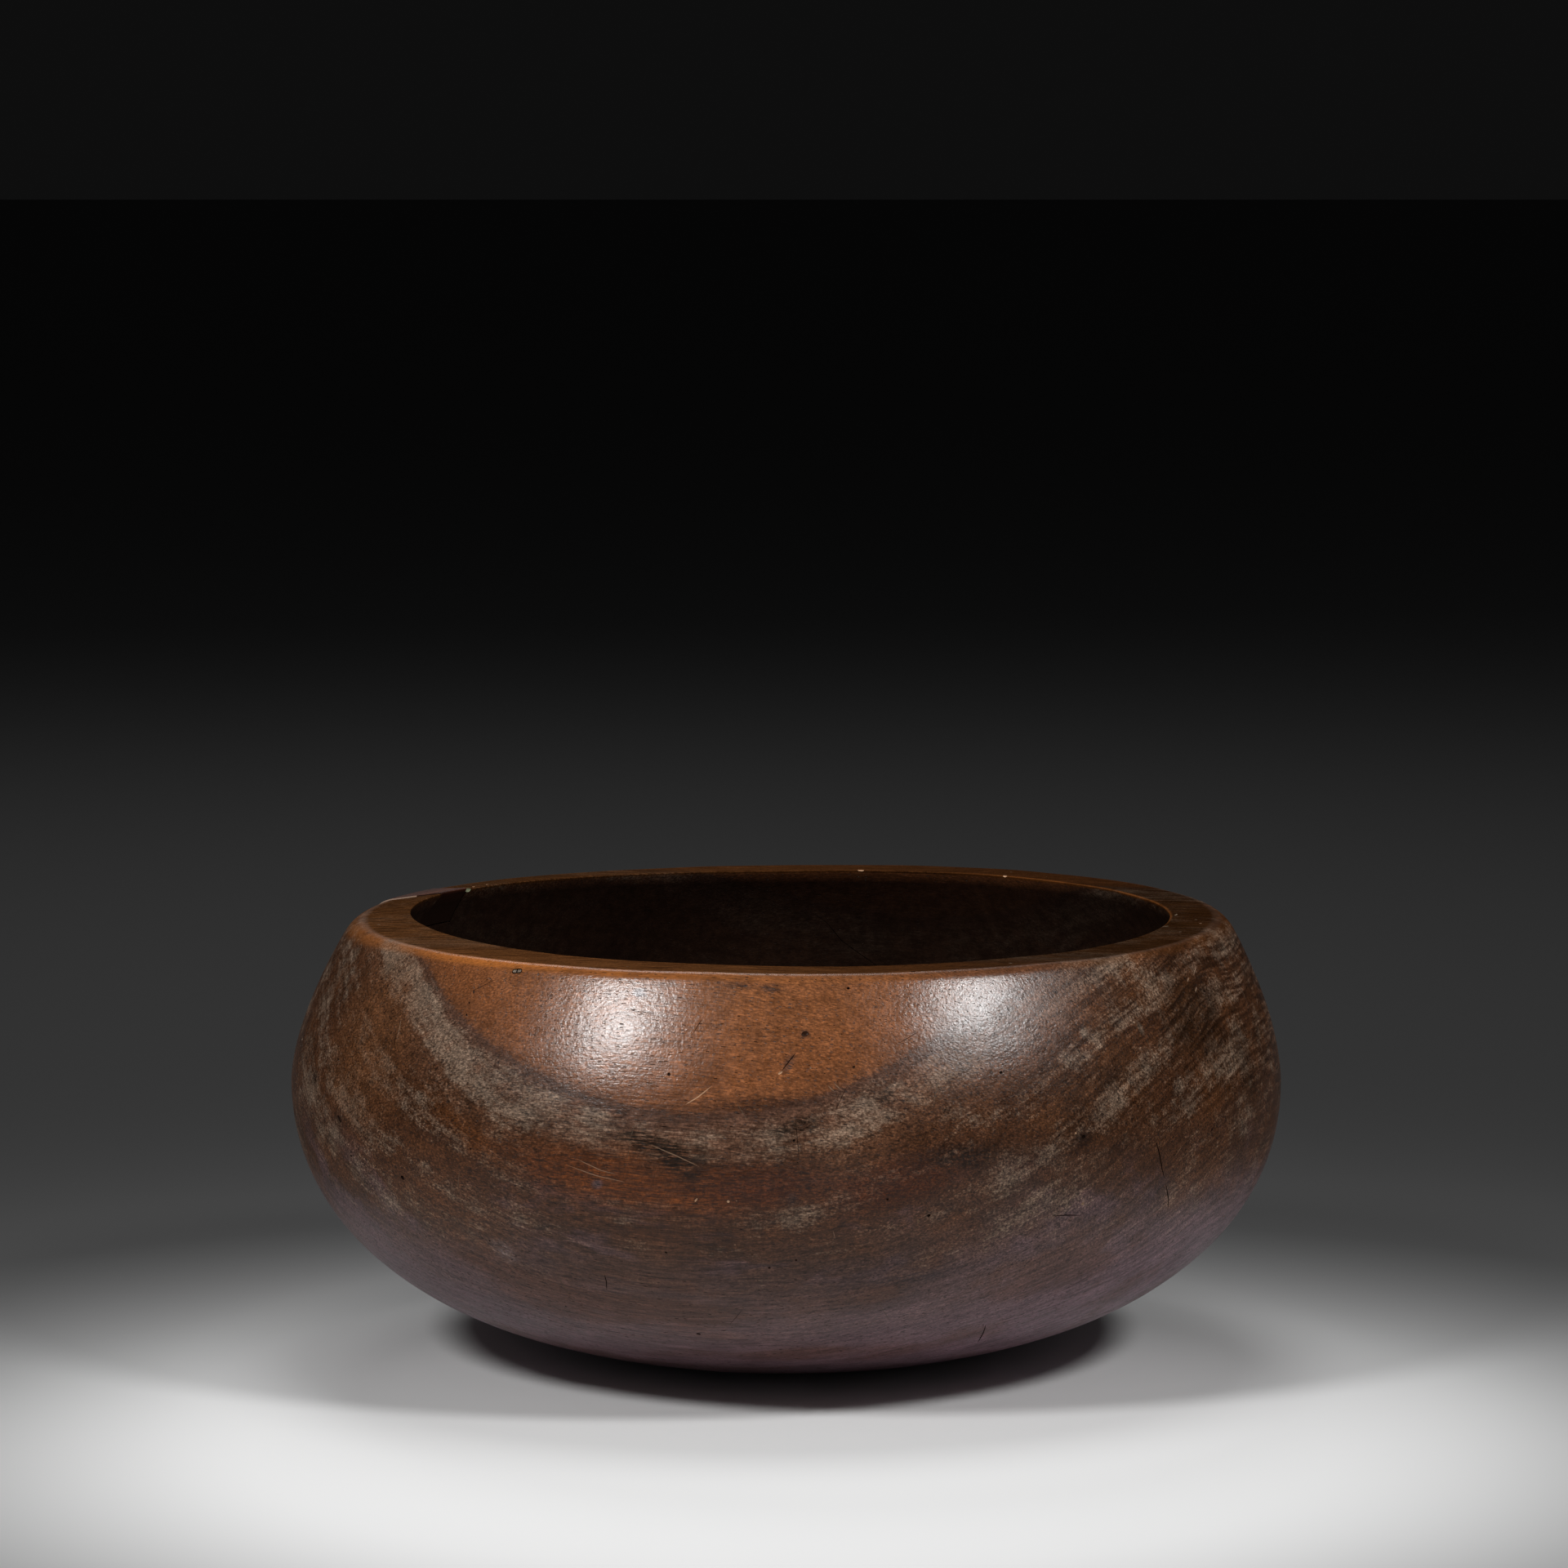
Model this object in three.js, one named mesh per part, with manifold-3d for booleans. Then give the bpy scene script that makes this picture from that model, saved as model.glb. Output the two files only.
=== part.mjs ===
// Wooden food bowl, hollowed and rounded from one block, with an old patch let into its rim
// and a small flat peg driven into the wall below the rim's edge.
// Millimetres, +Z up. The origin is the centre of the flat that the bowl stands on.
// The side with the peg faces -Y, and the patch is on the left, a little behind.

import * as THREE from 'three';
import { mergeVertices } from 'three/addons/utils/BufferGeometryUtils.js';
import Module from 'manifold-3d';

// The block's outside: a wide belly that closes in to the rim and rounds under to a small flat.
const BELLY_RADIUS = 150;
const BELLY_HEIGHT = 82.4;
const RIM_HEIGHT = 131;
const FOOT_RADIUS = 45;

// How full each stretch of the outline is: 2 is an ellipse, more is squarer.
const SHOULDER_FULLNESS = 1.63;
const SIDE_FULLNESS = 2.44;
const UNDERSIDE_FULLNESS = 2.13;

// The rim: a broad flat land with a rounded outer edge and a crisp inner lip.
const MOUTH_RADIUS = 114.5;
const RIM_LAND = 17.5;
const EDGE_ROUND = 3.5;
const LIP_ROUND = 1.2;

// The hollow: as wide as the belly allows, so the mouth overhangs it all round.
const BELLY_WALL = 15;
const FLOOR_THICKNESS = 18;
const HOLLOW_SHOULDER_FULLNESS = 1.8;
const HOLLOW_SIDE_FULLNESS = 2.4;
const HOLLOW_FLOOR_FULLNESS = 2.1;

// The patch: its near end is cut slantwise, along the grain, and its far end square across the rim.
// Angles run anticlockwise from +X.
const PATCH_NEAR_OUTER_ANGLE = 164;
const PATCH_NEAR_INNER_ANGLE = 155.5;
const PATCH_FAR_ANGLE = 149;
const PATCH_DEPTH = 10;

// The peg: a thin flat pin with rounded sides, driven slantwise into the wall just below the rim's
// edge and trimmed flush.
const PEG_ANGLE = 234.6;
const PEG_BELOW_RIM = 2.3;
const PEG_RISE = 35;
const PEG_ROLL = 8;
const PEG_WIDTH = 3.2;
const PEG_THICKNESS = 1.2;
const PEG_LENGTH = 8;

// The gap left all round the patch and the peg in their seats.
const JOINT_GAP = 0.3;

// How finely each stretch is stepped, and how far a cutting shape runs past the wood it cuts.
const TURNS = 96;
const SIDE_STEPS = 15;
const SHOULDER_STEPS = 9;
const EDGE_STEPS = 4;
const LIP_STEPS = 2;
const HOLLOW_SHOULDER_STEPS = 8;
const HOLLOW_STEPS = 14;
const PEG_SIDES = 8;
const OVERRUN = 12;
const MERGE_DISTANCE = 1e-4;

const EDGE_RADIUS = MOUTH_RADIUS + RIM_LAND;
const HOLLOW_RADIUS = BELLY_RADIUS - BELLY_WALL;
const SHOULDER_RISE = RIM_HEIGHT - BELLY_HEIGHT;
const PEG_HEIGHT = RIM_HEIGHT - PEG_BELOW_RIM;

const wasm = await Module();
wasm.setup();

// A curve's points at equal steps of its own parameter, from 0 to 1.
function stepped( steps, pointAt ) {

	return Array.from( { length: steps + 1 }, ( _, i ) => pointAt( i / steps ) );

}

// The radius of an incurving shoulder at a height between the belly and the rim.
function shoulderRadius( belly, top, fullness, height ) {

	const climbed = ( height - BELLY_HEIGHT ) / SHOULDER_RISE;
	return belly - ( belly - top ) * climbed ** fullness;

}

// A point of the rounded lower half, by its angle below the belly line.
function lowerPoint( belly, depth, sideFullness, bottomFullness, angle ) {

	const radius = belly * Math.cos( angle ) ** ( 2 / sideFullness );
	const height = BELLY_HEIGHT - depth * Math.sin( angle ) ** ( 2 / bottomFullness );
	return new THREE.Vector2( radius, height );

}

// A corner softened by a curve that leaves one stretch and joins the next.
function softCorner( from, corner, to, steps ) {

	return new THREE.QuadraticBezierCurve( from, corner, to ).getPoints( steps );

}

function outsidePoints() {

	const footAngle = Math.acos( ( FOOT_RADIUS / BELLY_RADIUS ) ** ( SIDE_FULLNESS / 2 ) );
	const depth = BELLY_HEIGHT / Math.sin( footAngle ) ** ( 2 / UNDERSIDE_FULLNESS );
	const lower = stepped( SIDE_STEPS, t =>
		lowerPoint( BELLY_RADIUS, depth, SIDE_FULLNESS, UNDERSIDE_FULLNESS, footAngle * ( 1 - t ) ) );
	const shoulderTop = RIM_HEIGHT - EDGE_ROUND;
	const shoulder = stepped( SHOULDER_STEPS, t => {

		const height = THREE.MathUtils.lerp( BELLY_HEIGHT, shoulderTop, t );
		return new THREE.Vector2( shoulderRadius( BELLY_RADIUS, EDGE_RADIUS, SHOULDER_FULLNESS, height ), height );

	} );
	return [ new THREE.Vector2( 0, 0 ), ...lower, ...shoulder.slice( 1 ) ];

}

function edgeCurve() {

	const shoulderTop = RIM_HEIGHT - EDGE_ROUND;
	const from = new THREE.Vector2(
		shoulderRadius( BELLY_RADIUS, EDGE_RADIUS, SHOULDER_FULLNESS, shoulderTop ), shoulderTop );
	const corner = new THREE.Vector2( EDGE_RADIUS, RIM_HEIGHT );
	const to = new THREE.Vector2( EDGE_RADIUS - EDGE_ROUND, RIM_HEIGHT );
	return softCorner( from, corner, to, EDGE_STEPS );

}

function insidePoints() {

	const shoulderTop = RIM_HEIGHT - LIP_ROUND;
	const shoulder = stepped( HOLLOW_SHOULDER_STEPS, t => {

		const height = THREE.MathUtils.lerp( shoulderTop, BELLY_HEIGHT, t );
		const radius = shoulderRadius( HOLLOW_RADIUS, MOUTH_RADIUS, HOLLOW_SHOULDER_FULLNESS, height );
		return new THREE.Vector2( radius, height );

	} );
	const lip = softCorner(
		new THREE.Vector2( MOUTH_RADIUS + LIP_ROUND, RIM_HEIGHT ),
		new THREE.Vector2( MOUTH_RADIUS, RIM_HEIGHT ),
		shoulder[ 0 ], LIP_STEPS );
	const depth = BELLY_HEIGHT - FLOOR_THICKNESS;
	const lower = stepped( HOLLOW_STEPS, t =>
		lowerPoint( HOLLOW_RADIUS, depth, HOLLOW_SIDE_FULLNESS, HOLLOW_FLOOR_FULLNESS, t * Math.PI / 2 ) );
	lower[ HOLLOW_STEPS ].x = 0;
	return [ ...lip, ...shoulder.slice( 1 ), ...lower.slice( 1 ) ];

}

function asSolid( geometry ) {

	geometry.deleteAttribute( 'normal' );
	geometry.deleteAttribute( 'uv' );
	const merged = mergeVertices( geometry, MERGE_DISTANCE );
	const corners = merged.index.array;
	const triVerts = [];
	for ( let i = 0; i < corners.length; i += 3 ) {

		const [ a, b, c ] = corners.slice( i, i + 3 );
		if ( a !== b && b !== c && c !== a ) triVerts.push( a, b, c );

	}
	return new wasm.Manifold( new wasm.Mesh( {
		numProp: 3,
		vertProperties: merged.attributes.position.array,
		triVerts: new Uint32Array( triVerts ),
	} ) );

}

function asMesh( name, solid, material ) {

	const { vertProperties, triVerts } = solid.getMesh();
	const geometry = new THREE.BufferGeometry();
	geometry.setAttribute( 'position', new THREE.BufferAttribute( vertProperties, 3 ) );
	geometry.setIndex( new THREE.BufferAttribute( triVerts, 1 ) );
	geometry.computeVertexNormals();
	const mesh = new THREE.Mesh( geometry, material );
	mesh.name = name;
	return mesh;

}

// The whole bowl as it would be with no patch and no peg, turned from its half outline.
function bowlBlank() {

	const outline = [ ...outsidePoints(), ...edgeCurve().slice( 1 ), ...insidePoints() ];
	const turned = new THREE.LatheGeometry( outline, TURNS );
	turned.rotateX( Math.PI / 2 );
	return asSolid( turned );

}

function onCircle( radius, degrees ) {

	const angle = THREE.MathUtils.degToRad( degrees );
	return new THREE.Vector2( radius * Math.cos( angle ), radius * Math.sin( angle ) );

}

// One end of the patch in plan: a line across the rim that runs past both edges,
// moved towards the patch's middle by the inset.
function patchEnd( outerAngle, innerAngle, inset, side ) {

	const outer = onCircle( EDGE_RADIUS, outerAngle );
	const inner = onCircle( MOUTH_RADIUS, innerAngle );
	const along = inner.clone().sub( outer ).normalize();
	const across = new THREE.Vector2( - along.y, along.x ).multiplyScalar( side * inset );
	outer.addScaledVector( along, - OVERRUN ).add( across );
	inner.addScaledVector( along, OVERRUN ).add( across );
	return { outer, inner };

}

function patchCutter( inset ) {

	const near = patchEnd( PATCH_NEAR_OUTER_ANGLE, PATCH_NEAR_INNER_ANGLE, inset, 1 );
	const far = patchEnd( PATCH_FAR_ANGLE, PATCH_FAR_ANGLE, inset, - 1 );
	const plan = new THREE.Shape( [ near.outer, far.outer, far.inner, near.inner ] );
	const cutter = new THREE.ExtrudeGeometry( plan, { depth: PATCH_DEPTH + OVERRUN, bevelEnabled: false } );
	cutter.translate( 0, 0, RIM_HEIGHT - PATCH_DEPTH + inset );
	return asSolid( cutter );

}

// A flat pin on the peg's axis, grown all round by the clearance and measured inwards from the wall.
function pegCutter( clearance, length ) {

	const radius = PEG_THICKNESS / 2 + clearance;
	const reach = ( PEG_WIDTH - PEG_THICKNESS ) / 2;
	const section = new THREE.Shape();
	section.absarc( reach, 0, radius, - Math.PI / 2, Math.PI / 2 );
	section.absarc( - reach, 0, radius, Math.PI / 2, 3 * Math.PI / 2 );
	const pin = new THREE.ExtrudeGeometry( section, {
		depth: length + OVERRUN, bevelEnabled: false, curveSegments: PEG_SIDES } );
	pin.translate( 0, 0, - length );
	pin.rotateZ( THREE.MathUtils.degToRad( 90 + PEG_ROLL ) );
	pin.rotateY( THREE.MathUtils.degToRad( 90 - PEG_RISE ) );
	const wall = shoulderRadius( BELLY_RADIUS, EDGE_RADIUS, SHOULDER_FULLNESS, PEG_HEIGHT );
	pin.translate( wall, 0, PEG_HEIGHT );
	pin.rotateZ( THREE.MathUtils.degToRad( PEG_ANGLE ) );
	return asSolid( pin );

}

const oiledWood = new THREE.MeshStandardMaterial( { color: 0x7a5236, roughness: 0.45, metalness: 0 } );
const patchWood = new THREE.MeshStandardMaterial( { color: 0x5f3c2a, roughness: 0.5, metalness: 0 } );
const pegWood = new THREE.MeshStandardMaterial( { color: 0x8f7a62, roughness: 0.6, metalness: 0 } );

const blank = bowlBlank();
const body = blank
	.subtract( patchCutter( 0 ) )
	.subtract( pegCutter( JOINT_GAP, PEG_LENGTH + JOINT_GAP ) );

const bowl = new THREE.Group();
bowl.add( asMesh( 'bowl_body', body, oiledWood ) );
bowl.add( asMesh( 'rim_patch', blank.intersect( patchCutter( JOINT_GAP ) ), patchWood ) );
bowl.add( asMesh( 'rim_peg', blank.intersect( pegCutter( 0, PEG_LENGTH ) ), pegWood ) );

export default bowl;
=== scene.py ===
# A carved wooden food bowl: the hollowed block, the patch let into its rim and the small peg driven
# into its wall just below the rim's edge. Metres, +Z up; the side with the peg faces -Y.
import math
import random

import bmesh
import bpy
from mathutils import Euler, Matrix, Vector
from mathutils.bvhtree import BVHTree
from mathutils.interpolate import poly_3d_calc


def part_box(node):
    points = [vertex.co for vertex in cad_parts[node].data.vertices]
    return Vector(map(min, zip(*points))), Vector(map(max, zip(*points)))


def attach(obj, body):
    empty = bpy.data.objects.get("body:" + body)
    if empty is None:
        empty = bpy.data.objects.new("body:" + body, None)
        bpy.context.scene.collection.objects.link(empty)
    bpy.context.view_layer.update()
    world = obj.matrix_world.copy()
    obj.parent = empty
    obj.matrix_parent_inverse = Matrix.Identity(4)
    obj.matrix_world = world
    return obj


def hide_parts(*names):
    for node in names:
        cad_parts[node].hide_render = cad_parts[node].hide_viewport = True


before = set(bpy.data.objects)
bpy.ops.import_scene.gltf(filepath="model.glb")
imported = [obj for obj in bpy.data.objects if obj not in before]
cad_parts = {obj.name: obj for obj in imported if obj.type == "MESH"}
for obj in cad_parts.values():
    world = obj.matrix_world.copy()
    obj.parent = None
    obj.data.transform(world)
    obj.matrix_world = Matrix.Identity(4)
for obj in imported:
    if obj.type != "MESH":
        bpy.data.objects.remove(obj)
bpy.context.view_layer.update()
MM = 0.001

# The camera stands 1.8 m in front of the bowl, a little above its rim, and looks slightly down on it.
CAMERA_PLACE = Vector((-0.74 * MM, -1.8, 0.3575))
CAMERA_DIP = math.radians(5.911)
SENSOR_WIDTH = 36
LENS = 137.34

camera = bpy.data.objects.new("camera", bpy.data.cameras.new("camera"))
bpy.context.scene.collection.objects.link(camera)
camera.location = CAMERA_PLACE
camera.rotation_euler = (math.pi / 2 - CAMERA_DIP, 0, 0)
camera.data.sensor_width = SENSOR_WIDTH
camera.data.lens = LENS
camera.data.clip_start = 0.05
camera.data.clip_end = 200
bpy.context.scene.camera = camera


# The block: one piece of hardwood, cut across the log so that its growth rings run round under the
# bowl. It was hollowed with an adze, rounded by eye, scraped smooth and oiled by long use. Its wall
# wanders a little, and its pores, checks, scratches and chips are cut into the wood itself.
block_low, block_high = (Vector(corner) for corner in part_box("bowl_body"))
BELLY_RADIUS = (block_high.x - block_low.x) / 2
RIM_HEIGHT = block_high.z
BELLY_HEIGHT = 82.4 * MM
FOOT_RADIUS = 45 * MM
SHOULDER_FULLNESS = 1.63
SIDE_FULLNESS = 2.44
UNDERSIDE_FULLNESS = 2.13
MOUTH_RADIUS = 114.5 * MM
EDGE_RADIUS = 132 * MM
SOFT_EDGE = 4.8 * MM
CRISP_EDGE = 2.4 * MM
LIP_ROUND = 1.2 * MM
BELLY_WALL = 15 * MM
FLOOR_THICKNESS = 18 * MM
HOLLOW_SHOULDER_FULLNESS = 1.8
HOLLOW_SIDE_FULLNESS = 2.4
HOLLOW_FLOOR_FULLNESS = 2.1
HOLLOW_RADIUS = BELLY_RADIUS - BELLY_WALL

# How many rows of faces each stretch of the half outline has, and how many turns go round.
FOOT_ROWS = 4
SIDE_ROWS = 44
SHOULDER_ROWS = 30
EDGE_ROWS = 9
LAND_ROWS = 7
LIP_ROWS = 4
HOLLOW_SHOULDER_ROWS = 16
HOLLOW_ROWS = 30
TURNS = 300

# What the turned surface carries for the wood's look, and how far the wear reaches from each edge.
ZONES = ("arris", "lip", "land", "hollow", "mouth")
ARRIS_REACH = 1.9 * MM
LIP_REACH = 1.1 * MM
MOUTH_REACH = 22 * MM

# The log: its axis runs nearly along X, below the bowl, and the rings are cylinders round it.
PITH = Vector((0.36, 1.4, -62.95)) * MM
LOG_TURN = Euler((0, math.radians(2.08), math.radians(-14.55)))


def steps(count, point_at):
    return [point_at(i / count) for i in range(count + 1)]


def shoulder_radius(belly, top, fullness, height):
    climbed = (height - BELLY_HEIGHT) / (RIM_HEIGHT - BELLY_HEIGHT)
    return belly - (belly - top) * climbed ** fullness


def lower_point(belly, depth, side, bottom, angle):
    radius = belly * max(math.cos(angle), 0) ** (2 / side)
    return Vector((radius, 0, BELLY_HEIGHT - depth * math.sin(angle) ** (2 / bottom)))


def soft_corner(start, corner, end, rows):
    return steps(rows, lambda t: start * (1 - t) ** 2 + corner * 2 * t * (1 - t) + end * t ** 2)


def half_outline(edge_round):
    """The half outline, from the middle of the flat round the wall, over the rim and into the hollow.

    Also gives where the rim's edge, its land, its lip and the hollow start along it.
    """
    foot_angle = math.acos((FOOT_RADIUS / BELLY_RADIUS) ** (SIDE_FULLNESS / 2))
    depth = BELLY_HEIGHT / math.sin(foot_angle) ** (2 / UNDERSIDE_FULLNESS)
    foot = steps(FOOT_ROWS, lambda t: Vector((FOOT_RADIUS * t, 0, 0)))
    side = steps(SIDE_ROWS, lambda t: lower_point(
        BELLY_RADIUS, depth, SIDE_FULLNESS, UNDERSIDE_FULLNESS, foot_angle * (1 - t)))

    def shoulder_at(height):
        return Vector((shoulder_radius(BELLY_RADIUS, EDGE_RADIUS, SHOULDER_FULLNESS, height), 0, height))

    def hollow_at(height):
        radius = shoulder_radius(HOLLOW_RADIUS, MOUTH_RADIUS, HOLLOW_SHOULDER_FULLNESS, height)
        return Vector((radius, 0, height))

    top = RIM_HEIGHT - edge_round
    shoulder = steps(SHOULDER_ROWS, lambda t: shoulder_at(BELLY_HEIGHT + (top - BELLY_HEIGHT) * t))
    corner = Vector((EDGE_RADIUS, 0, RIM_HEIGHT))
    edge = soft_corner(shoulder[-1], corner, corner - Vector((edge_round, 0, 0)), EDGE_ROWS)
    lip_top = RIM_HEIGHT - LIP_ROUND
    inner = Vector((MOUTH_RADIUS, 0, RIM_HEIGHT))
    lip = soft_corner(inner + Vector((LIP_ROUND, 0, 0)), inner, hollow_at(lip_top), LIP_ROWS)
    land = steps(LAND_ROWS, lambda t: edge[-1].lerp(lip[0], t))
    overhang = steps(HOLLOW_SHOULDER_ROWS, lambda t: hollow_at(lip_top + (BELLY_HEIGHT - lip_top) * t))
    hollow_depth = BELLY_HEIGHT - FLOOR_THICKNESS
    hollow = steps(HOLLOW_ROWS, lambda t: lower_point(
        HOLLOW_RADIUS, hollow_depth, HOLLOW_SIDE_FULLNESS, HOLLOW_FLOOR_FULLNESS, t * math.pi / 2))
    hollow[-1].x = 0
    line = list(foot)
    starts = []
    for stretch in (side, shoulder, edge, land, lip, overhang, hollow):
        starts.append(len(line) - 1)
        line += stretch[1:]
    return line, starts[2:6]


class Recipe:
    """Adds nodes to one tree. Each step gives back the socket that the next step reads."""

    def __init__(self, tree):
        self.tree = tree

    def add(self, kind, feeds=None, out=0, **settings):
        made = self.tree.nodes.new(kind)
        for name, value in settings.items():
            setattr(made, name, value)
        for key, value in (feeds or {}).items():
            if isinstance(value, bpy.types.NodeSocket):
                self.tree.links.new(value, made.inputs[key])
            else:
                made.inputs[key].default_value = value
        return made if out is None else made.outputs[out]

    def math(self, operation, *values):
        return self.add("ShaderNodeMath", dict(enumerate(values)), operation=operation)

    def chain(self, operation, values):
        """One operation over two or more values, from the first to the last."""
        result = values[0]
        for value in values[1:]:
            result = self.math(operation, result, value)
        return result

    def times(self, *values):
        return self.chain("MULTIPLY", values)

    def plus(self, *values):
        return self.chain("ADD", values)

    def minus(self, value, taken):
        return self.math("SUBTRACT", value, taken)

    def largest(self, *values):
        return self.chain("MAXIMUM", values)

    def vector(self, operation, *values, out=0):
        return self.add("ShaderNodeVectorMath", dict(enumerate(values)), out, operation=operation)

    def scaled(self, value, factor):
        return self.add("ShaderNodeVectorMath", {0: value, "Scale": factor}, operation="SCALE")

    def remap(self, value, low, high, to_low=0.0, to_high=1.0):
        feeds = {0: value, 1: low, 2: high, 3: to_low, 4: to_high}
        return self.add("ShaderNodeMapRange", feeds, interpolation_type="SMOOTHSTEP")

    def noise(self, place, size, detail=2.0, roughness=0.5):
        """A soft noise whose lumps are about as large as the size, one number or one along each axis."""
        sizes = size if isinstance(size, tuple) else (size, size, size)
        return self.add("ShaderNodeTexNoise", {
            "Vector": self.vector("DIVIDE", place, sizes), "Scale": 1.0, "Detail": detail,
            "Roughness": roughness})

    def along_log(self, place):
        """A place in millimetres along the log (X) and across it (Y and Z), measured from the pith."""
        turned = self.add("ShaderNodeVectorRotate", {
            "Vector": self.vector("SUBTRACT", place, tuple(PITH)), "Rotation": tuple(LOG_TURN),
        }, rotation_type="EULER_XYZ", invert=True)
        return self.vector("DIVIDE", turned, (MM, MM, MM))

    def ring_radius(self, log_place):
        return self.vector("LENGTH", self.vector("MULTIPLY", log_place, (0, 1, 1)), out=1)


def new_object(name, mesh):
    made = bpy.data.objects.new(name, mesh)
    bpy.context.scene.collection.objects.link(made)
    return made


def grow(starter, tree, sizes):
    """Runs a geometry tree on an object and keeps what it makes as the object's plain mesh."""
    modifier = starter.modifiers.new(tree.name, "NODES")
    modifier.node_group = tree
    for item in tree.interface.items_tree:
        if item.name in sizes:
            modifier[item.identifier] = sizes[item.name]
    keep_result(starter, modifier)


def keep_result(piece, modifier):
    made = bpy.data.meshes.new_from_object(piece.evaluated_get(bpy.context.evaluated_depsgraph_get()))
    piece.modifiers.remove(modifier)
    old = piece.data
    piece.data = made
    made.name = piece.name
    bpy.data.meshes.remove(old)


def new_tree(name, inputs):
    tree = bpy.data.node_groups.new(name, "GeometryNodeTree")
    tree.interface.new_socket("Geometry", in_out="INPUT", socket_type="NodeSocketGeometry")
    for title, kind in inputs:
        tree.interface.new_socket(title, in_out="INPUT", socket_type="NodeSocket" + kind)
    tree.interface.new_socket("Geometry", in_out="OUTPUT", socket_type="NodeSocketGeometry")
    return tree, tree.nodes.new("NodeGroupInput").outputs


def end_tree(recipe, shape, wood):
    """Ends a tree in plain faces, all of one material."""
    whole = recipe.add("GeometryNodeRealizeInstances", {"Geometry": shape})
    dressed = recipe.add("GeometryNodeSetMaterial", {"Geometry": whole, "Material": wood})
    recipe.add("NodeGroupOutput", {0: dressed}, out=None)


def turning_tree():
    """Turns the half outline round the axis, lets the wall wander as a carver's does, and closes the seam."""
    tree, given = new_tree("turned_by_eye", (
        ("Rows", "Int"), ("Turns", "Int"), ("Wander", "Float"), ("Wander size", "Float"),
        ("Rim lean", "Float"), ("Crispest side", "Float"), ("Mouth skew", "Float"), ("Lip rise", "Float"),
        ("Rim rise", "Float"), ("Highest side", "Float"), ("Wood", "Material")))
    recipe = Recipe(tree)
    columns = recipe.plus(given["Turns"], 1)
    grid = recipe.add("GeometryNodeMeshGrid", {
        "Size X": 1.0, "Size Y": 1.0, "Vertices X": columns, "Vertices Y": given["Rows"]})
    flat = recipe.vector("ADD", recipe.add("GeometryNodeInputPosition"), (0.5, 0.5, 0))
    split = recipe.add("ShaderNodeSeparateXYZ", {0: flat}, out=None).outputs
    row = recipe.math("ROUND", recipe.times(split[1], recipe.minus(given["Rows"], 1)))
    angle = recipe.times(split[0], math.tau)

    def outline_value(name, kind):
        value = recipe.add("GeometryNodeInputNamedAttribute", {"Name": name}, data_type=kind)
        feeds = {0: given["Geometry"], 1: value, 2: row}
        return recipe.add("GeometryNodeSampleIndex", feeds, data_type=kind, domain="POINT")

    facing = recipe.math("COSINE", recipe.minus(angle, given["Crispest side"]))
    crispness = recipe.remap(recipe.math("ABSOLUTE", facing), 0.05, 0.65)
    shift = recipe.scaled(outline_value("crisp_shift", "FLOAT_VECTOR"), crispness)
    outline_point = recipe.vector("ADD", outline_value("position", "FLOAT_VECTOR"), shift)

    # The mouth isn't quite round: on the left (-X) it bulges behind and draws in before, and its lip
    # stands higher there.
    leftness = recipe.largest(recipe.times(recipe.math("COSINE", angle), -1), 0)
    skew = recipe.times(recipe.math("SINE", angle), recipe.math("POWER", leftness, 3))
    mouth = outline_value("mouth", "FLOAT")
    outwards = recipe.times(skew, given["Mouth skew"], mouth)
    lift = recipe.times(leftness, given["Lip rise"], mouth)
    moved_mouth = recipe.add("ShaderNodeCombineXYZ", {0: outwards, 2: lift})
    outline_point = recipe.vector("ADD", outline_point, moved_mouth)
    turned = recipe.add("ShaderNodeVectorRotate", {
        "Vector": outline_point, "Angle": angle}, rotation_type="Z_AXIS")

    # The wall wanders a little, but not where it stands; the rim leans out and rises at one side.
    height = recipe.add("ShaderNodeSeparateXYZ", {0: turned}, out=2)
    lumps = recipe.add("ShaderNodeTexNoise", {
        "Vector": turned, "Scale": recipe.math("DIVIDE", 1, given["Wander size"]), "Detail": 1.5}, out=1)
    off_foot = recipe.remap(height, 0, 14 * MM)
    spread = recipe.times(given["Wander"], 2, off_foot)
    moved = recipe.scaled(recipe.vector("SUBTRACT", lumps, (0.5, 0.5, 0.5)), spread)
    climbed = recipe.remap(height, BELLY_HEIGHT, RIM_HEIGHT)
    lean = recipe.times(given["Rim lean"], climbed)
    highness = recipe.math("COSINE", recipe.minus(angle, given["Highest side"]))
    highness = recipe.math("POWER", recipe.largest(highness, 0), 2)
    rise = recipe.times(highness, given["Rim rise"], climbed)
    leant = recipe.vector("ADD", moved, recipe.add("ShaderNodeCombineXYZ", {0: lean, 2: rise}))
    marked = grid
    for name in ZONES:
        feeds = {"Geometry": marked, "Name": name, "Value": outline_value(name, "FLOAT")}
        marked = recipe.add("GeometryNodeStoreNamedAttribute", feeds, data_type="FLOAT", domain="POINT")
    placed = recipe.add("GeometryNodeSetPosition", {
        "Geometry": marked, "Position": recipe.vector("ADD", turned, leant)})
    closed = recipe.add("GeometryNodeMergeByDistance", {"Geometry": placed, "Distance": 0.002 * MM})
    end_tree(recipe, closed, given["Wood"])
    return tree


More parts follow.
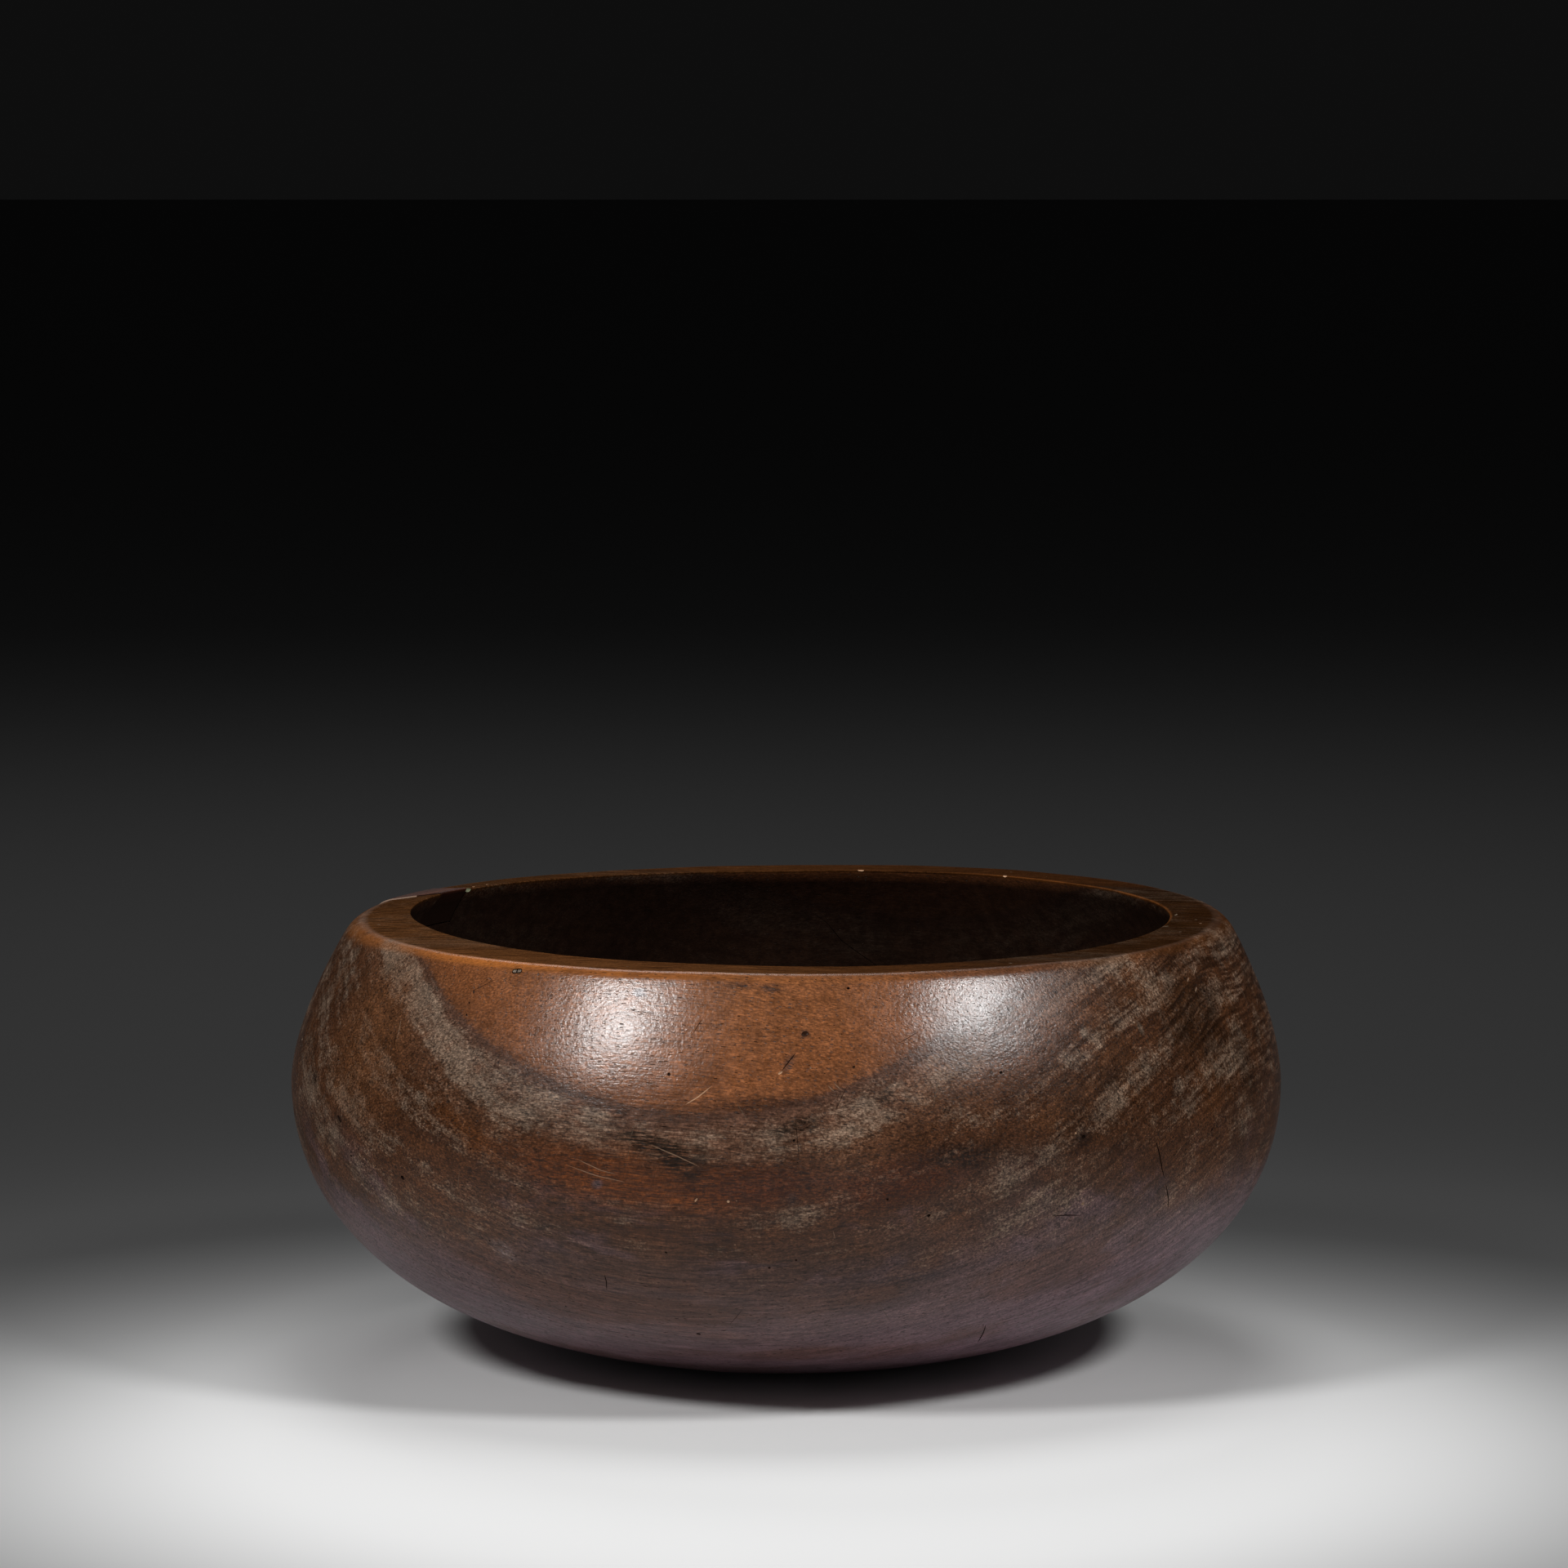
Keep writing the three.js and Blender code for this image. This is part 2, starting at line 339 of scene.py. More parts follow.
def zone_values(i, line, starts):
    """How far a point of the half outline belongs to each of the zones, in their order."""
    edge, land, lip, hollow = starts

    def nearness(middle, reach):
        away = (line[i] - line[middle]).length / reach
        return math.exp(-away * away)

    on_land = min(max((i - edge) / (land - edge), 0), 1) if i < hollow else 0
    in_hollow = min(max((i - hollow + 1) / 2, 0), 1)
    across_land = min(max((i - land) / (lip - land), 0), 1)
    mouth = across_land if i < hollow else nearness(hollow, MOUTH_REACH)
    arris = nearness((edge + land) // 2, ARRIS_REACH)
    return arris, nearness((lip + hollow) // 2, LIP_REACH), on_land, in_hollow, mouth


def outline_mesh():
    """The half outline as a row of points, each with what the turning tree reads from it."""
    soft, starts = half_outline(SOFT_EDGE)
    crisp = half_outline(CRISP_EDGE)[0]
    mesh = bpy.data.meshes.new("half_outline")
    mesh.from_pydata(soft, [(i, i + 1) for i in range(len(soft) - 1)], [])
    shift = mesh.attributes.new("crisp_shift", "FLOAT_VECTOR", "POINT")
    for i, point in enumerate(soft):
        shift.data[i].vector = crisp[i] - point
    for row, name in enumerate(ZONES):
        zone = mesh.attributes.new(name, "FLOAT", "POINT")
        for i in range(len(crisp)):
            zone.data[i].value = zone_values(i, crisp, starts)[row]
    return mesh


oiled_wood = bpy.data.materials.new("oiled_wood")
block_sizes = {
    "Rows": len(half_outline(SOFT_EDGE)[0]), "Turns": TURNS, "Wander": 0.55 * MM, "Wander size": 55 * MM,
    "Rim lean": 0.9 * MM, "Crispest side": math.radians(270), "Mouth skew": 8 * MM, "Lip rise": 1 * MM,
    "Rim rise": 1.3 * MM, "Highest side": math.radians(35), "Wood": oiled_wood}
carved_bowl = new_object("carved_bowl", outline_mesh())
grow(carved_bowl, turning_tree(), block_sizes)


def face_outwards(mesh):
    shape = bmesh.new()
    shape.from_mesh(mesh)
    if shape.calc_volume(signed=True) < 0:
        bmesh.ops.reverse_faces(shape, faces=shape.faces)
    shape.to_mesh(mesh)
    shape.free()


face_outwards(carved_bowl.data)
whole_block = carved_bowl.data.copy()


def tone(red, green, blue, cover=1.0):
    """A colour as it is seen on a screen, from 0 to 255, in the linear values that the shaders take."""
    def linear(value):
        share = value / 255
        return share / 12.92 if share <= 0.04045 else ((share + 0.055) / 1.055) ** 2.4
    return (linear(red), linear(green), linear(blue), cover)


# What a cut in the surface shows: a dark pore, a split, wood laid bare, or old filler. On the lip's small
# chips the pale bare wood also stands for glints on them, a painted highlight.
PORE_DARK = tone(34, 21, 15, 0.85)
SPLIT_DARK = tone(26, 17, 13, 0.95)
SEAT_DARK = tone(46, 30, 22, 0.9)
BARE_WOOD_AND_GLINTS = tone(196, 158, 126, 0.8)
DULL_BARE = tone(150, 122, 100, 0.75)
CHIP_GREY = tone(104, 90, 76, 0.7)
FILLER = tone(112, 116, 92, 0.9)

block_shape = bmesh.new()
block_shape.from_mesh(whole_block)
surface = BVHTree.FromBMesh(block_shape)
block_shape.free()


def toward(azimuth, from_inside=False):
    """A level direction by its angle in degrees from the front towards +X, inwards or from inside out."""
    angle = math.radians(azimuth)
    outwards = Vector((math.sin(angle), -math.cos(angle), 0))
    return outwards if from_inside else -outwards


def on_wall(azimuth, height, inside=False):
    """The point of the carved surface at an azimuth and a height in millimetres, and its outward normal."""
    start = Vector((0, 0, height * MM))
    if not inside:
        start -= toward(azimuth) * BELLY_RADIUS * 1.2
    place, normal, _, _ = surface.ray_cast(start, toward(azimuth, inside))
    return place, normal


# Anything lower than this isn't the rim but the hollow, seen through the mouth.
LOWEST_RIM = RIM_HEIGHT - 5 * MM


def on_rim(azimuth, radius):
    """The point of the rim at an azimuth and a radius in millimetres, seen from above, and its normal.

    The mouth isn't quite round: where it reaches past that radius, the point moves out to the lip.
    """
    place = Vector((0, 0, 0))
    while place.z < LOWEST_RIM:
        start = -toward(azimuth) * radius * MM + Vector((0, 0, RIM_HEIGHT * 1.2))
        place, normal, _, _ = surface.ray_cast(start, Vector((0, 0, -1)))
        radius += 0.3
    return place, normal


def frame_at(place, normal, lean=0.0):
    """Axes at a point of the surface: X along it, Y up it, Z out of it, turned by the lean in degrees."""
    side = Vector((0, 0, 1)).cross(normal)
    side = (side if side.length > 0.05 else Vector((1, 0, 0))).normalized()
    up = normal.cross(side).normalized()
    axes = Matrix((side, up, normal)).transposed().to_4x4()
    return Matrix.Translation(place) @ axes @ Matrix.Rotation(math.radians(lean), 4, "Z")


def add_groove(cutter, spots, width, depth, colour):
    """A cutting shape along points of the surface, pointed at both ends, with a shallow V below."""
    tint = cutter.faces.layers.float_color["cut_colour"]
    places = [spot[0] for spot in spots]
    rings = []
    for i in range(1, len(spots) - 1):
        normal = spots[i][1]
        side = (places[i + 1] - places[i - 1]).cross(normal).normalized()
        swell = math.sin(math.pi * i / (len(spots) - 1)) ** 0.5
        half = width / 2 * swell
        deep = depth * swell
        above = ((half, 0.25 * depth), (0, 2.5 * depth), (-half, 0.25 * depth))
        ring = (*above, (-0.4 * half, -deep), (0.4 * half, -deep))
        rings.append([cutter.verts.new(places[i] + side * across + normal * up) for across, up in ring])
    tips = [cutter.verts.new(places[0]), cutter.verts.new(places[-1])]
    made = []
    for a, b in zip(rings, rings[1:]):
        made += [cutter.faces.new((a[j], a[j - 1], b[j - 1], b[j])) for j in range(len(a))]
    made += [cutter.faces.new((tips[0], rings[0][j - 1], rings[0][j])) for j in range(len(rings[0]))]
    made += [cutter.faces.new((tips[1], rings[-1][j], rings[-1][j - 1])) for j in range(len(rings[-1]))]
    for face in made:
        face[tint] = colour


def between(corners, spacing=2.5 * MM):
    """Points of the surface at an even spacing along a broken line, each corner a point with its normal."""
    spots = []
    for (start, _), (end, _) in zip(corners, corners[1:]):
        count = max(2, round((end - start).length / spacing))
        for i in range(count):
            t = i / count
            place, normal, _, _ = surface.find_nearest(start.lerp(end, t))
            spots.append((place, normal))
    spots.append(corners[-1])
    return spots


def add_pit(cutter, spot, across, up, depth, colour, lean=0.0):
    """A cutting shape for a pit or chip: a flattened ball with its middle on the surface."""
    tint = cutter.faces.layers.float_color["cut_colour"]
    shape = frame_at(*spot, lean) @ Matrix.Diagonal((across / 2, up / 2, depth, 1))
    ball = bmesh.ops.create_uvsphere(cutter, u_segments=10, v_segments=6, radius=1, matrix=shape)
    for face in {face for corner in ball["verts"] for face in corner.link_faces}:
        face[tint] = colour


def new_cutter():
    cutter = bmesh.new()
    cutter.faces.layers.float_color.new("cut_colour")
    return cutter


def as_object(name, shape):
    bmesh.ops.recalc_face_normals(shape, faces=shape.faces)
    mesh = bpy.data.meshes.new(name)
    shape.to_mesh(mesh)
    shape.free()
    return new_object(name, mesh)


def cut(piece, cutter, operation="DIFFERENCE"):
    """Cuts a closed piece by another closed shape, keeps the result as its mesh and takes the cutter away."""
    modifier = piece.modifiers.new(cutter.name, "BOOLEAN")
    modifier.object = cutter
    modifier.operation = operation
    modifier.solver = "MANIFOLD"
    keep_result(piece, modifier)
    bpy.data.objects.remove(cutter)


# The seat of the patch and the hole of the peg, from the sizes of the two pieces' own solids. Angles
# run anticlockwise from +X, and the peg's azimuth from the front towards +X; its height is in mm.
PATCH_NEAR_OUTER = 164
PATCH_NEAR_INNER = 155.5
PATCH_FAR = 149
PATCH_DEPTH = 10 * MM
PATCH_PALE_SHARE = 0.52
PEG_ANGLE = 234.6
PEG_AZIMUTH = PEG_ANGLE - 270
PEG_HEIGHT = 128.7
PEG_RISE = 35
PEG_ROLL = 8
PEG_WIDTH = 3.2 * MM
PEG_THICKNESS = 1.2 * MM
PEG_LENGTH = 8 * MM
PEG_GAP = 0.15 * MM
OVERRUN = 12 * MM


def on_circle(radius, degrees):
    angle = math.radians(degrees)
    return Vector((radius * math.cos(angle), radius * math.sin(angle), 0))


def patch_end(outer_angle, inner_angle, inset, side):
    outer = on_circle(EDGE_RADIUS, outer_angle)
    inner = on_circle(MOUTH_RADIUS, inner_angle)
    along = (inner - outer).normalized()
    across = Vector((-along.y, along.x, 0)) * side * inset
    return outer - along * OVERRUN + across, inner + along * OVERRUN + across


def prism_on(plan, rise):
    """A closed shape raised along Z from a flat outline. Gives the shape and its faces, sides first."""
    prism = new_cutter()
    low = [prism.verts.new(corner) for corner in plan]
    high = [prism.verts.new(corner + Vector((0, 0, rise))) for corner in plan]
    faces = [prism.faces.new((low[i - 1], low[i], high[i], high[i - 1])) for i in range(len(plan))]
    faces += [prism.faces.new(low), prism.faces.new(high)]
    tint = prism.faces.layers.float_color["cut_colour"]
    for face in faces:
        face[tint] = SEAT_DARK
    return prism, faces


def patch_prism(inset, name, end_colour=SEAT_DARK):
    """The patch's shape, brought in all round by the inset, with the colour of its near end's outer part."""
    near_outer, near_inner = patch_end(PATCH_NEAR_OUTER, PATCH_NEAR_INNER, inset, 1)
    far_outer, far_inner = patch_end(PATCH_FAR, PATCH_FAR, inset, -1)
    floor = Vector((0, 0, RIM_HEIGHT - PATCH_DEPTH + inset))
    near_middle = near_outer.lerp(near_inner, PATCH_PALE_SHARE)
    plan = [corner + floor for corner in (near_outer, far_outer, far_inner, near_inner, near_middle)]
    prism, faces = prism_on(plan, PATCH_DEPTH + OVERRUN)
    faces[0][prism.faces.layers.float_color["cut_colour"]] = end_colour
    return as_object(name, prism)


def peg_pin(clearance, length, name):
    """A flat pin with rounded sides on the peg's axis, grown all round by the clearance."""
    reach = Vector(((PEG_WIDTH - PEG_THICKNESS) / 2, 0, 0))
    radius = PEG_THICKNESS / 2 + clearance
    plan = []
    for side in (1, -1):
        plan += [side * (reach + on_circle(radius, turn * 22.5)) for turn in range(-4, 5)]
    pin = prism_on(plan, length + OVERRUN)[0]
    place = Matrix.Translation(on_wall(PEG_AZIMUTH, PEG_HEIGHT)[0])
    for turn, axis in ((PEG_ANGLE, "Z"), (90 - PEG_RISE, "Y"), (90 + PEG_ROLL, "Z")):
        place @= Matrix.Rotation(math.radians(turn), 4, axis)
    place @= Matrix.Translation((0, 0, -length))
    bmesh.ops.transform(pin, matrix=place, verts=pin.verts)
    return as_object(name, pin)


cut(carved_bowl, patch_prism(0, "patch_seat"))
cut(carved_bowl, peg_pin(PEG_GAP, PEG_LENGTH + PEG_GAP, "peg_hole"))

# Scratches and splits, each along places given by degrees from the front towards +X and by height in mm.
GROOVES = (
    (((-11.1, 95.9), (-9.7, 98.2), (-8.2, 101.3)), 0.42, 0.12, BARE_WOOD_AND_GLINTS),
    (((-0.6, 105.3), (0.1, 107.5), (1.1, 110.5)), 0.4, 0.2, PORE_DARK),
    (((-28.6, 128.3), (-28.8, 126.5), (-28.7, 124.8)), 0.35, 0.1, DULL_BARE),
    (((-27.8, 112.8), (-27.5, 110.6), (-27.3, 108.5)), 0.3, 0.1, DULL_BARE),
    (((4.5, 101.6), (4.9, 100.6), (5.2, 99.9)), 0.35, 0.12, DULL_BARE),
    (((5.2, 102.2), (5.6, 101.2), (5.9, 100.4)), 0.35, 0.12, DULL_BARE),
    (((44.7, 80.1), (45.6, 75.2), (46.3, 70.7), (47.0, 67.5)), 0.45, 0.5, SPLIT_DARK),
    (((47.4, 65.9), (47.7, 64.7), (48.6, 61.0), (49.3, 57.4)), 0.4, 0.45, SPLIT_DARK),
    (((30.5, 61.1), (32.6, 60.9), (35.1, 60.2)), 0.35, 0.3, SPLIT_DARK),
    (((28.7, 25.9), (29.9, 22.2), (31.6, 17.3)), 0.4, 0.3, SPLIT_DARK),
    (((-21.9, 44.8), (-22.0, 42.2), (-22.4, 39.3)), 0.35, 0.2, SPLIT_DARK),
    (((50.7, 19.8), (52.4, 20.0), (54.7, 20.1)), 0.5, 0.4, SPLIT_DARK),
    (((56.5, 20.3), (58.2, 20.6), (60.6, 20.6)), 0.45, 0.4, SPLIT_DARK),
    (((-14.9, 84.8), (-12.0, 82.0), (-9.4, 79.0)), 0.35, 0.12, DULL_BARE),
    (((-24.6, 77.6), (-21.0, 75.0), (-17.6, 73.6)), 0.3, 0.08, DULL_BARE),
    (((-23.2, 79.4), (-20.4, 76.6), (-18.4, 75.6)), 0.3, 0.08, DULL_BARE),
    (((47.5, 128.0), (46.6, 126.8), (45.8, 125.9)), 0.3, 0.1, DULL_BARE),
    (((61.5, 124.5), (60.5, 123.4), (59.6, 122.2)), 0.35, 0.12, DULL_BARE),
    (((-52.0, 112.5), (-51.6, 109.0), (-51.4, 106.0)), 0.3, 0.08, DULL_BARE),
)
INSIDE_SPLIT = (
    (176.7, 117.1), (174.1, 113.1), (172.0, 106.7), (169.8, 102.8), (166.4, 97.0), (164.0, 92.0))
INSIDE_SPLIT_WIDTH = 0.36 * MM
INSIDE_SPLIT_DEPTH = 0.4 * MM
grooves = new_cutter()
for places, width, depth, colour in GROOVES:
    line = between([on_wall(*place) for place in places], 1.6 * MM)
    add_groove(grooves, line, width * MM, depth * MM, colour)
inside_split = between([on_wall(*place, inside=True) for place in INSIDE_SPLIT])
add_groove(grooves, inside_split, INSIDE_SPLIT_WIDTH, INSIDE_SPLIT_DEPTH, SPLIT_DARK)
cut(carved_bowl, as_object("grooves", grooves))

# Fine scratches from handling and washing, strewn over the whole wall in the same way at every run.
SCRATCHES = 84
LOWEST_SCRATCH = 24
HIGHEST_SCRATCH = 127
SCRATCH_DEPTH = 0.07 * MM
SCRATCH_COLOURS = (DULL_BARE, CHIP_GREY, CHIP_GREY, PORE_DARK)
SEED = 11
chance = random.Random(SEED)
scratches = new_cutter()
for _ in range(SCRATCHES):
    azimuth = chance.uniform(-180, 180)
    height = chance.uniform(30, 124)
    slant = math.radians(chance.uniform(-90, 90))
    half = chance.uniform(1.5, 6)
    along = math.degrees(half * math.cos(slant) * MM / BELLY_RADIUS)
    climb = half * math.sin(slant)
    start = on_wall(azimuth - along, max(height - climb, LOWEST_SCRATCH))
    end = on_wall(azimuth + along, min(height + climb, HIGHEST_SCRATCH))
    colour = chance.choice(SCRATCH_COLOURS)
    width = chance.uniform(0.16, 0.28) * MM
    add_groove(scratches, between([start, end]), width, SCRATCH_DEPTH, colour)
cut(carved_bowl, as_object("scratches", scratches))

# Pits and chips: azimuth, height, width, height across, depth, lean, colour.
PITS = (
    (7.4, 127.2, 0.9, 0.8, 0.5, 0, SPLIT_DARK),
    (2.1, 115.3, 2.2, 1.6, 0.35, 20, PORE_DARK),
    (-0.7, 105.0, 1.5, 0.7, 0.25, 35, BARE_WOOD_AND_GLINTS),
    (-48.2, 67.4, 1.6, 1.2, 0.6, -30, SPLIT_DARK),
    (-12.2, 25.3, 1.3, 1.0, 0.6, 0, SPLIT_DARK),
    (34.1, 83.5, 1.4, 1.1, 0.4, 0, SPLIT_DARK),
    (33.1, 84.8, 0.6, 0.6, 0.15, 0, BARE_WOOD_AND_GLINTS),
    (-9.8, 69.3, 0.5, 1.3, 0.15, -35, BARE_WOOD_AND_GLINTS),
    (-6.3, 69.1, 0.8, 0.8, 0.15, 0, BARE_WOOD_AND_GLINTS),
    (-5.4, 69.3, 0.35, 0.35, 0.12, 0, DULL_BARE),
    (57.9, 121.5, 2.0, 0.5, 0.15, 35, DULL_BARE),
    (58.8, 118.5, 2.4, 0.5, 0.15, 35, DULL_BARE),
    (-41.0, 122.0, 0.7, 1.2, 0.3, 30, PORE_DARK),
    (-68.6, 89.4, 2.4, 1.0, 0.3, -35, SPLIT_DARK),
    (-60.4, 80.6, 3.0, 1.2, 0.35, -35, SPLIT_DARK),
)
# Chips and dents of the rim: azimuth, radius from the bowl's axis, length, width, depth, lean, colour.
RIM_CHIPS = (
    (-117.9, 114.8, 2.0, 2.6, 0.8, 20, FILLER),
    (-121.4, 114.9, 3.2, 2.0, 1.1, -15, FILLER),
    (-120.6, 118.2, 2.4, 1.6, 0.5, 30, FILLER),
    # Painted highlight and chips: the two pale chips here stand for small chips with glints on them.
    (-124.5, 119.4, 1.2, 0.9, 0.3, 0, BARE_WOOD_AND_GLINTS),
    (-127.9, 119.7, 1.2, 0.8, 0.3, 0, BARE_WOOD_AND_GLINTS),
    (87.7, 117.9, 4.2, 0.7, 0.2, 78, CHIP_GREY),
    (79.0, 126.2, 0.9, 0.8, 0.2, 0, DULL_BARE),
    (75.2, 116.9, 2.2, 1.0, 0.25, 15, CHIP_GREY),
    (15.9, 130.2, 1.6, 1.0, 0.4, 0, SPLIT_DARK),
    (-48.0, 121.0, 1.4, 0.6, 0.3, 20, PORE_DARK),
    (24.0, 125.0, 7.0, 0.4, 0.25, 60, PORE_DARK),
    # Painted highlight and chips: the two pale chips on the back of the lip also stand for its glints.
    (143.0, 115.2, 1.6, 0.9, 0.3, 0, BARE_WOOD_AND_GLINTS),
    (168.0, 115.2, 2.2, 0.8, 0.35, 0, BARE_WOOD_AND_GLINTS),
)
# Small dents all over the wall and a few on the land of the rim.
WALL_DENTS = 70
RIM_DENTS = 16
pits = new_cutter()
for azimuth, height, across, up, depth, lean, colour in PITS:
    add_pit(pits, on_wall(azimuth, height), across * MM, up * MM, depth * MM, colour, lean)
for azimuth, radius, across, up, depth, lean, colour in RIM_CHIPS:
    add_pit(pits, on_rim(azimuth, radius), across * MM, up * MM, depth * MM, colour, lean)
wall_spots = [on_wall(chance.uniform(-180, 180), chance.uniform(20, 122)) for _ in range(WALL_DENTS)]
rim_spots = [on_rim(chance.uniform(-180, 180), chance.uniform(121, 127)) for _ in range(RIM_DENTS)]
for spots, lightest in ((wall_spots, DULL_BARE), (rim_spots, CHIP_GREY)):
    for spot in spots:
        size = chance.uniform(0.4, 1.1) * MM
        colour = chance.choice((PORE_DARK, PORE_DARK, SPLIT_DARK, lightest))
        add_pit(pits, spot, size, size * chance.uniform(0.6, 1.2), size * 0.3, colour, chance.uniform(0, 180))
cut(carved_bowl, as_object("pits", pits))


def pore_tree():
    """Scatters open pores: thin spindles along the log, most of them where the oil wore off."""
    tree, given = new_tree("open_pores", (
        ("Spacing", "Float"), ("Density", "Float"), ("Shortest", "Float"), ("Longest", "Float"),
        ("Width", "Float"), ("Seed", "Int"), ("Wood", "Material")))
    recipe = Recipe(tree)
    log_place = recipe.along_log(recipe.add("GeometryNodeInputPosition"))
    worn = recipe.remap(recipe.ring_radius(log_place), 206, 218, 0.08, 1.0)
    bunched = recipe.remap(recipe.noise(log_place, (30, 7, 7)), 0.42, 0.6, 0.2, 1.0)
    hollow = recipe.add("GeometryNodeInputNamedAttribute", {"Name": "hollow"}, data_type="FLOAT")
    outside = recipe.remap(hollow, 0.2, 0.6, 1.0, 0.05)
    share = recipe.times(worn, bunched, outside)
    scatter = recipe.add("GeometryNodeDistributePointsOnFaces", {
        "Mesh": given["Geometry"], "Distance Min": given["Spacing"], "Density Max": given["Density"],
        "Density Factor": share, "Seed": given["Seed"]}, distribute_method="POISSON")
    length = recipe.add("FunctionNodeRandomValue", {
        2: given["Shortest"], 3: given["Longest"], "Seed": given["Seed"]}, out=1, data_type="FLOAT")
    girth = recipe.add("FunctionNodeRandomValue", {
        2: 0.6, 3: 1.3, "Seed": recipe.plus(given["Seed"], 1)}, out=1, data_type="FLOAT")
    width = recipe.times(given["Width"], girth)
    spindle = recipe.add("GeometryNodeMeshUVSphere", {"Segments": 4, "Rings": 3, "Radius": 0.5})
    feeds = {"Geometry": spindle, "Name": "cut_colour", "Value": PORE_DARK}
    spindle = recipe.add("GeometryNodeStoreNamedAttribute", feeds, data_type="FLOAT_COLOR", domain="FACE")
    strewn = recipe.add("GeometryNodeInstanceOnPoints", {
        "Points": scatter, "Instance": spindle, "Rotation": tuple(LOG_TURN),
        "Scale": recipe.add("ShaderNodeCombineXYZ", {0: length, 1: width, 2: width})})
    end_tree(recipe, strewn, given["Wood"])
    return tree


pores = new_object("pores", whole_block.copy())
grow(pores, pore_tree(), {
    "Spacing": 1.6 * MM, "Density": 2.2e5, "Shortest": 0.8 * MM, "Longest": 2.8 * MM, "Width": 0.22 * MM,
    "Seed": 7, "Wood": oiled_wood})
cut(carved_bowl, pores)


def restore_zones(piece):
    """Gives every point the zones of the uncut surface nearest to it, which a cut's new points lack."""
    given = [whole_block.attributes[name].data for name in ZONES]
    kept = [piece.data.attributes[name].data for name in ZONES]
    for i, point in enumerate(piece.data.vertices):
        place, _, face, _ = surface.find_nearest(point.co)
        corners = whole_block.polygons[face].vertices
        shares = poly_3d_calc([whole_block.vertices[j].co for j in corners], place)
        for before, after in zip(given, kept):
            after[i].value = sum(share * before[j].value for share, j in zip(shares, corners))


SHARP_CORNER = math.radians(42)


def finish_mesh(piece, material):
    """One material all over, smooth, but crisp along the rim of every cut and along any real corner."""
    piece.data.materials.clear()
    piece.data.materials.append(material)
    shape = bmesh.new()
    shape.from_mesh(piece.data)
    tint = shape.faces.layers.float_color.get("cut_colour")
    for face in shape.faces:
        face.smooth = True
        face.material_index = 0
    for edge in shape.edges:
        if len(edge.link_faces) == 2:
            a, b = edge.link_faces
            edge.smooth = a[tint][3] == b[tint][3] and edge.calc_face_angle(0) < SHARP_CORNER
    shape.to_mesh(piece.data)
    shape.free()


restore_zones(carved_bowl)
finish_mesh(carved_bowl, oiled_wood)


class WoodRecipe(Recipe):
    """Steps for colouring wood: each takes the colour so far and gives the next one."""

    def mix(self, amount, under, over):
        feeds = {0: amount, 6: under, 7: over}
        return self.add("ShaderNodeMix", feeds, out=2, data_type="RGBA")

    def shade(self, colour, pattern, darkest, lightest, low=0.3, high=0.7):
        """Darkens and lightens the colour by a pattern."""
        return self.scaled(colour, self.remap(pattern, low, high, darkest, lightest))

    def ramp(self, value, stops):
        """A colour by a value, from stops of value and colour, lowest first."""
        low, high = stops[0][0], stops[-1][0]
        made = self.tree.nodes.new("ShaderNodeValToRGB")
        marks = made.color_ramp.elements
        while len(marks) < len(stops):
            marks.new(0.5)
        for mark, (at, colour) in zip(marks, stops):
            mark.position = (at - low) / (high - low)
            mark.color = colour
        share = self.math("DIVIDE", self.minus(value, low), high - low)
        self.tree.links.new(share, made.inputs[0])
        return made.outputs[0]

    def spot(self, place, at, size):
        """1 inside a soft patch of the surface and 0 outside it: a frame at its middle and its size."""
        feeds = {"Vector": place, "Location": at.translation, "Rotation": at.to_euler(), "Scale": size}
        local = self.add("ShaderNodeMapping", feeds, vector_type="TEXTURE")
        return self.remap(self.vector("LENGTH", local, out=1), 1, 0.25)

    def zone(self, name):
        return self.add("ShaderNodeAttribute", out=2, attribute_name=name)

    def show_cuts(self, colour):
        """Lays the colour of each cut over the wood's. Also gives how far it covers the wood."""
        look = self.add("ShaderNodeAttribute", out=None, attribute_name="cut_colour").outputs
        return self.mix(look["Alpha"], colour, look["Color"]), look["Alpha"]


def empty_recipe(owner):
    """A recipe on the emptied node tree of a material or of the world."""
    owner.use_nodes = True
    owner.node_tree.nodes.clear()
    return WoodRecipe(owner.node_tree)


# Ring radius in mm and the wood's colour there: the orange tongue is the wood nearest the bark, and
# all that lies within its ring is heartwood. The lowest stops, round the foot and the underside, are
# lighter and lavender: the wood's mauve with a painted reflection of the pale floor and painted light
# of its bounce.
TONGUE_RING = 217.2
RING_COLOURS_AND_LOW_SHEEN = (
    (40, tone(150, 125, 139)), (60, tone(142, 116, 128)), (110, tone(118, 93, 101)), (150, tone(98, 76, 76)),
    (168, tone(84, 61, 55)), (180, tone(74, 50, 38)), (190, tone(72, 44, 27)), (200, tone(74, 45, 27)),
    (207, tone(87, 57, 39)), (212, tone(102, 71, 54)), (TONGUE_RING - 1, tone(78, 53, 41)),
    (TONGUE_RING, tone(110, 67, 40)), (221, tone(119, 71, 40)), (245, tone(122, 75, 42)))
PATINA = tone(120, 102, 86)
STREAK_DARK = tone(30, 19, 13)
# Painted highlight and wear: the rim's outer edge, rubbed to bare orange wood and lightened where it catches
# the light.
ARRIS_WORN_AND_LIT = tone(152, 90, 41)
LAND_BROWN = tone(61, 37, 18)
# Painted light and wear: the lip behind on the right, worn orange and lightened where the inner lip catches
# the light.
LIP_WORN_AND_LIT = tone(120, 70, 32)
# Painted shade: the dark colour of the hollow, standing in for the shade deep inside the bowl.
PAINTED_HOLLOW_SHADE = tone(34, 22, 16)
WARM_BROWN = tone(84, 50, 26)
# Mauve with a painted lavender reflection of the pale floor in it.
MAUVE_AND_FLOOR_SHEEN = tone(96, 75, 80)
KNOT_GREY = tone(92, 92, 98)
BARK_DARK = tone(26, 18, 10)
WOOD_IOR = 1.5

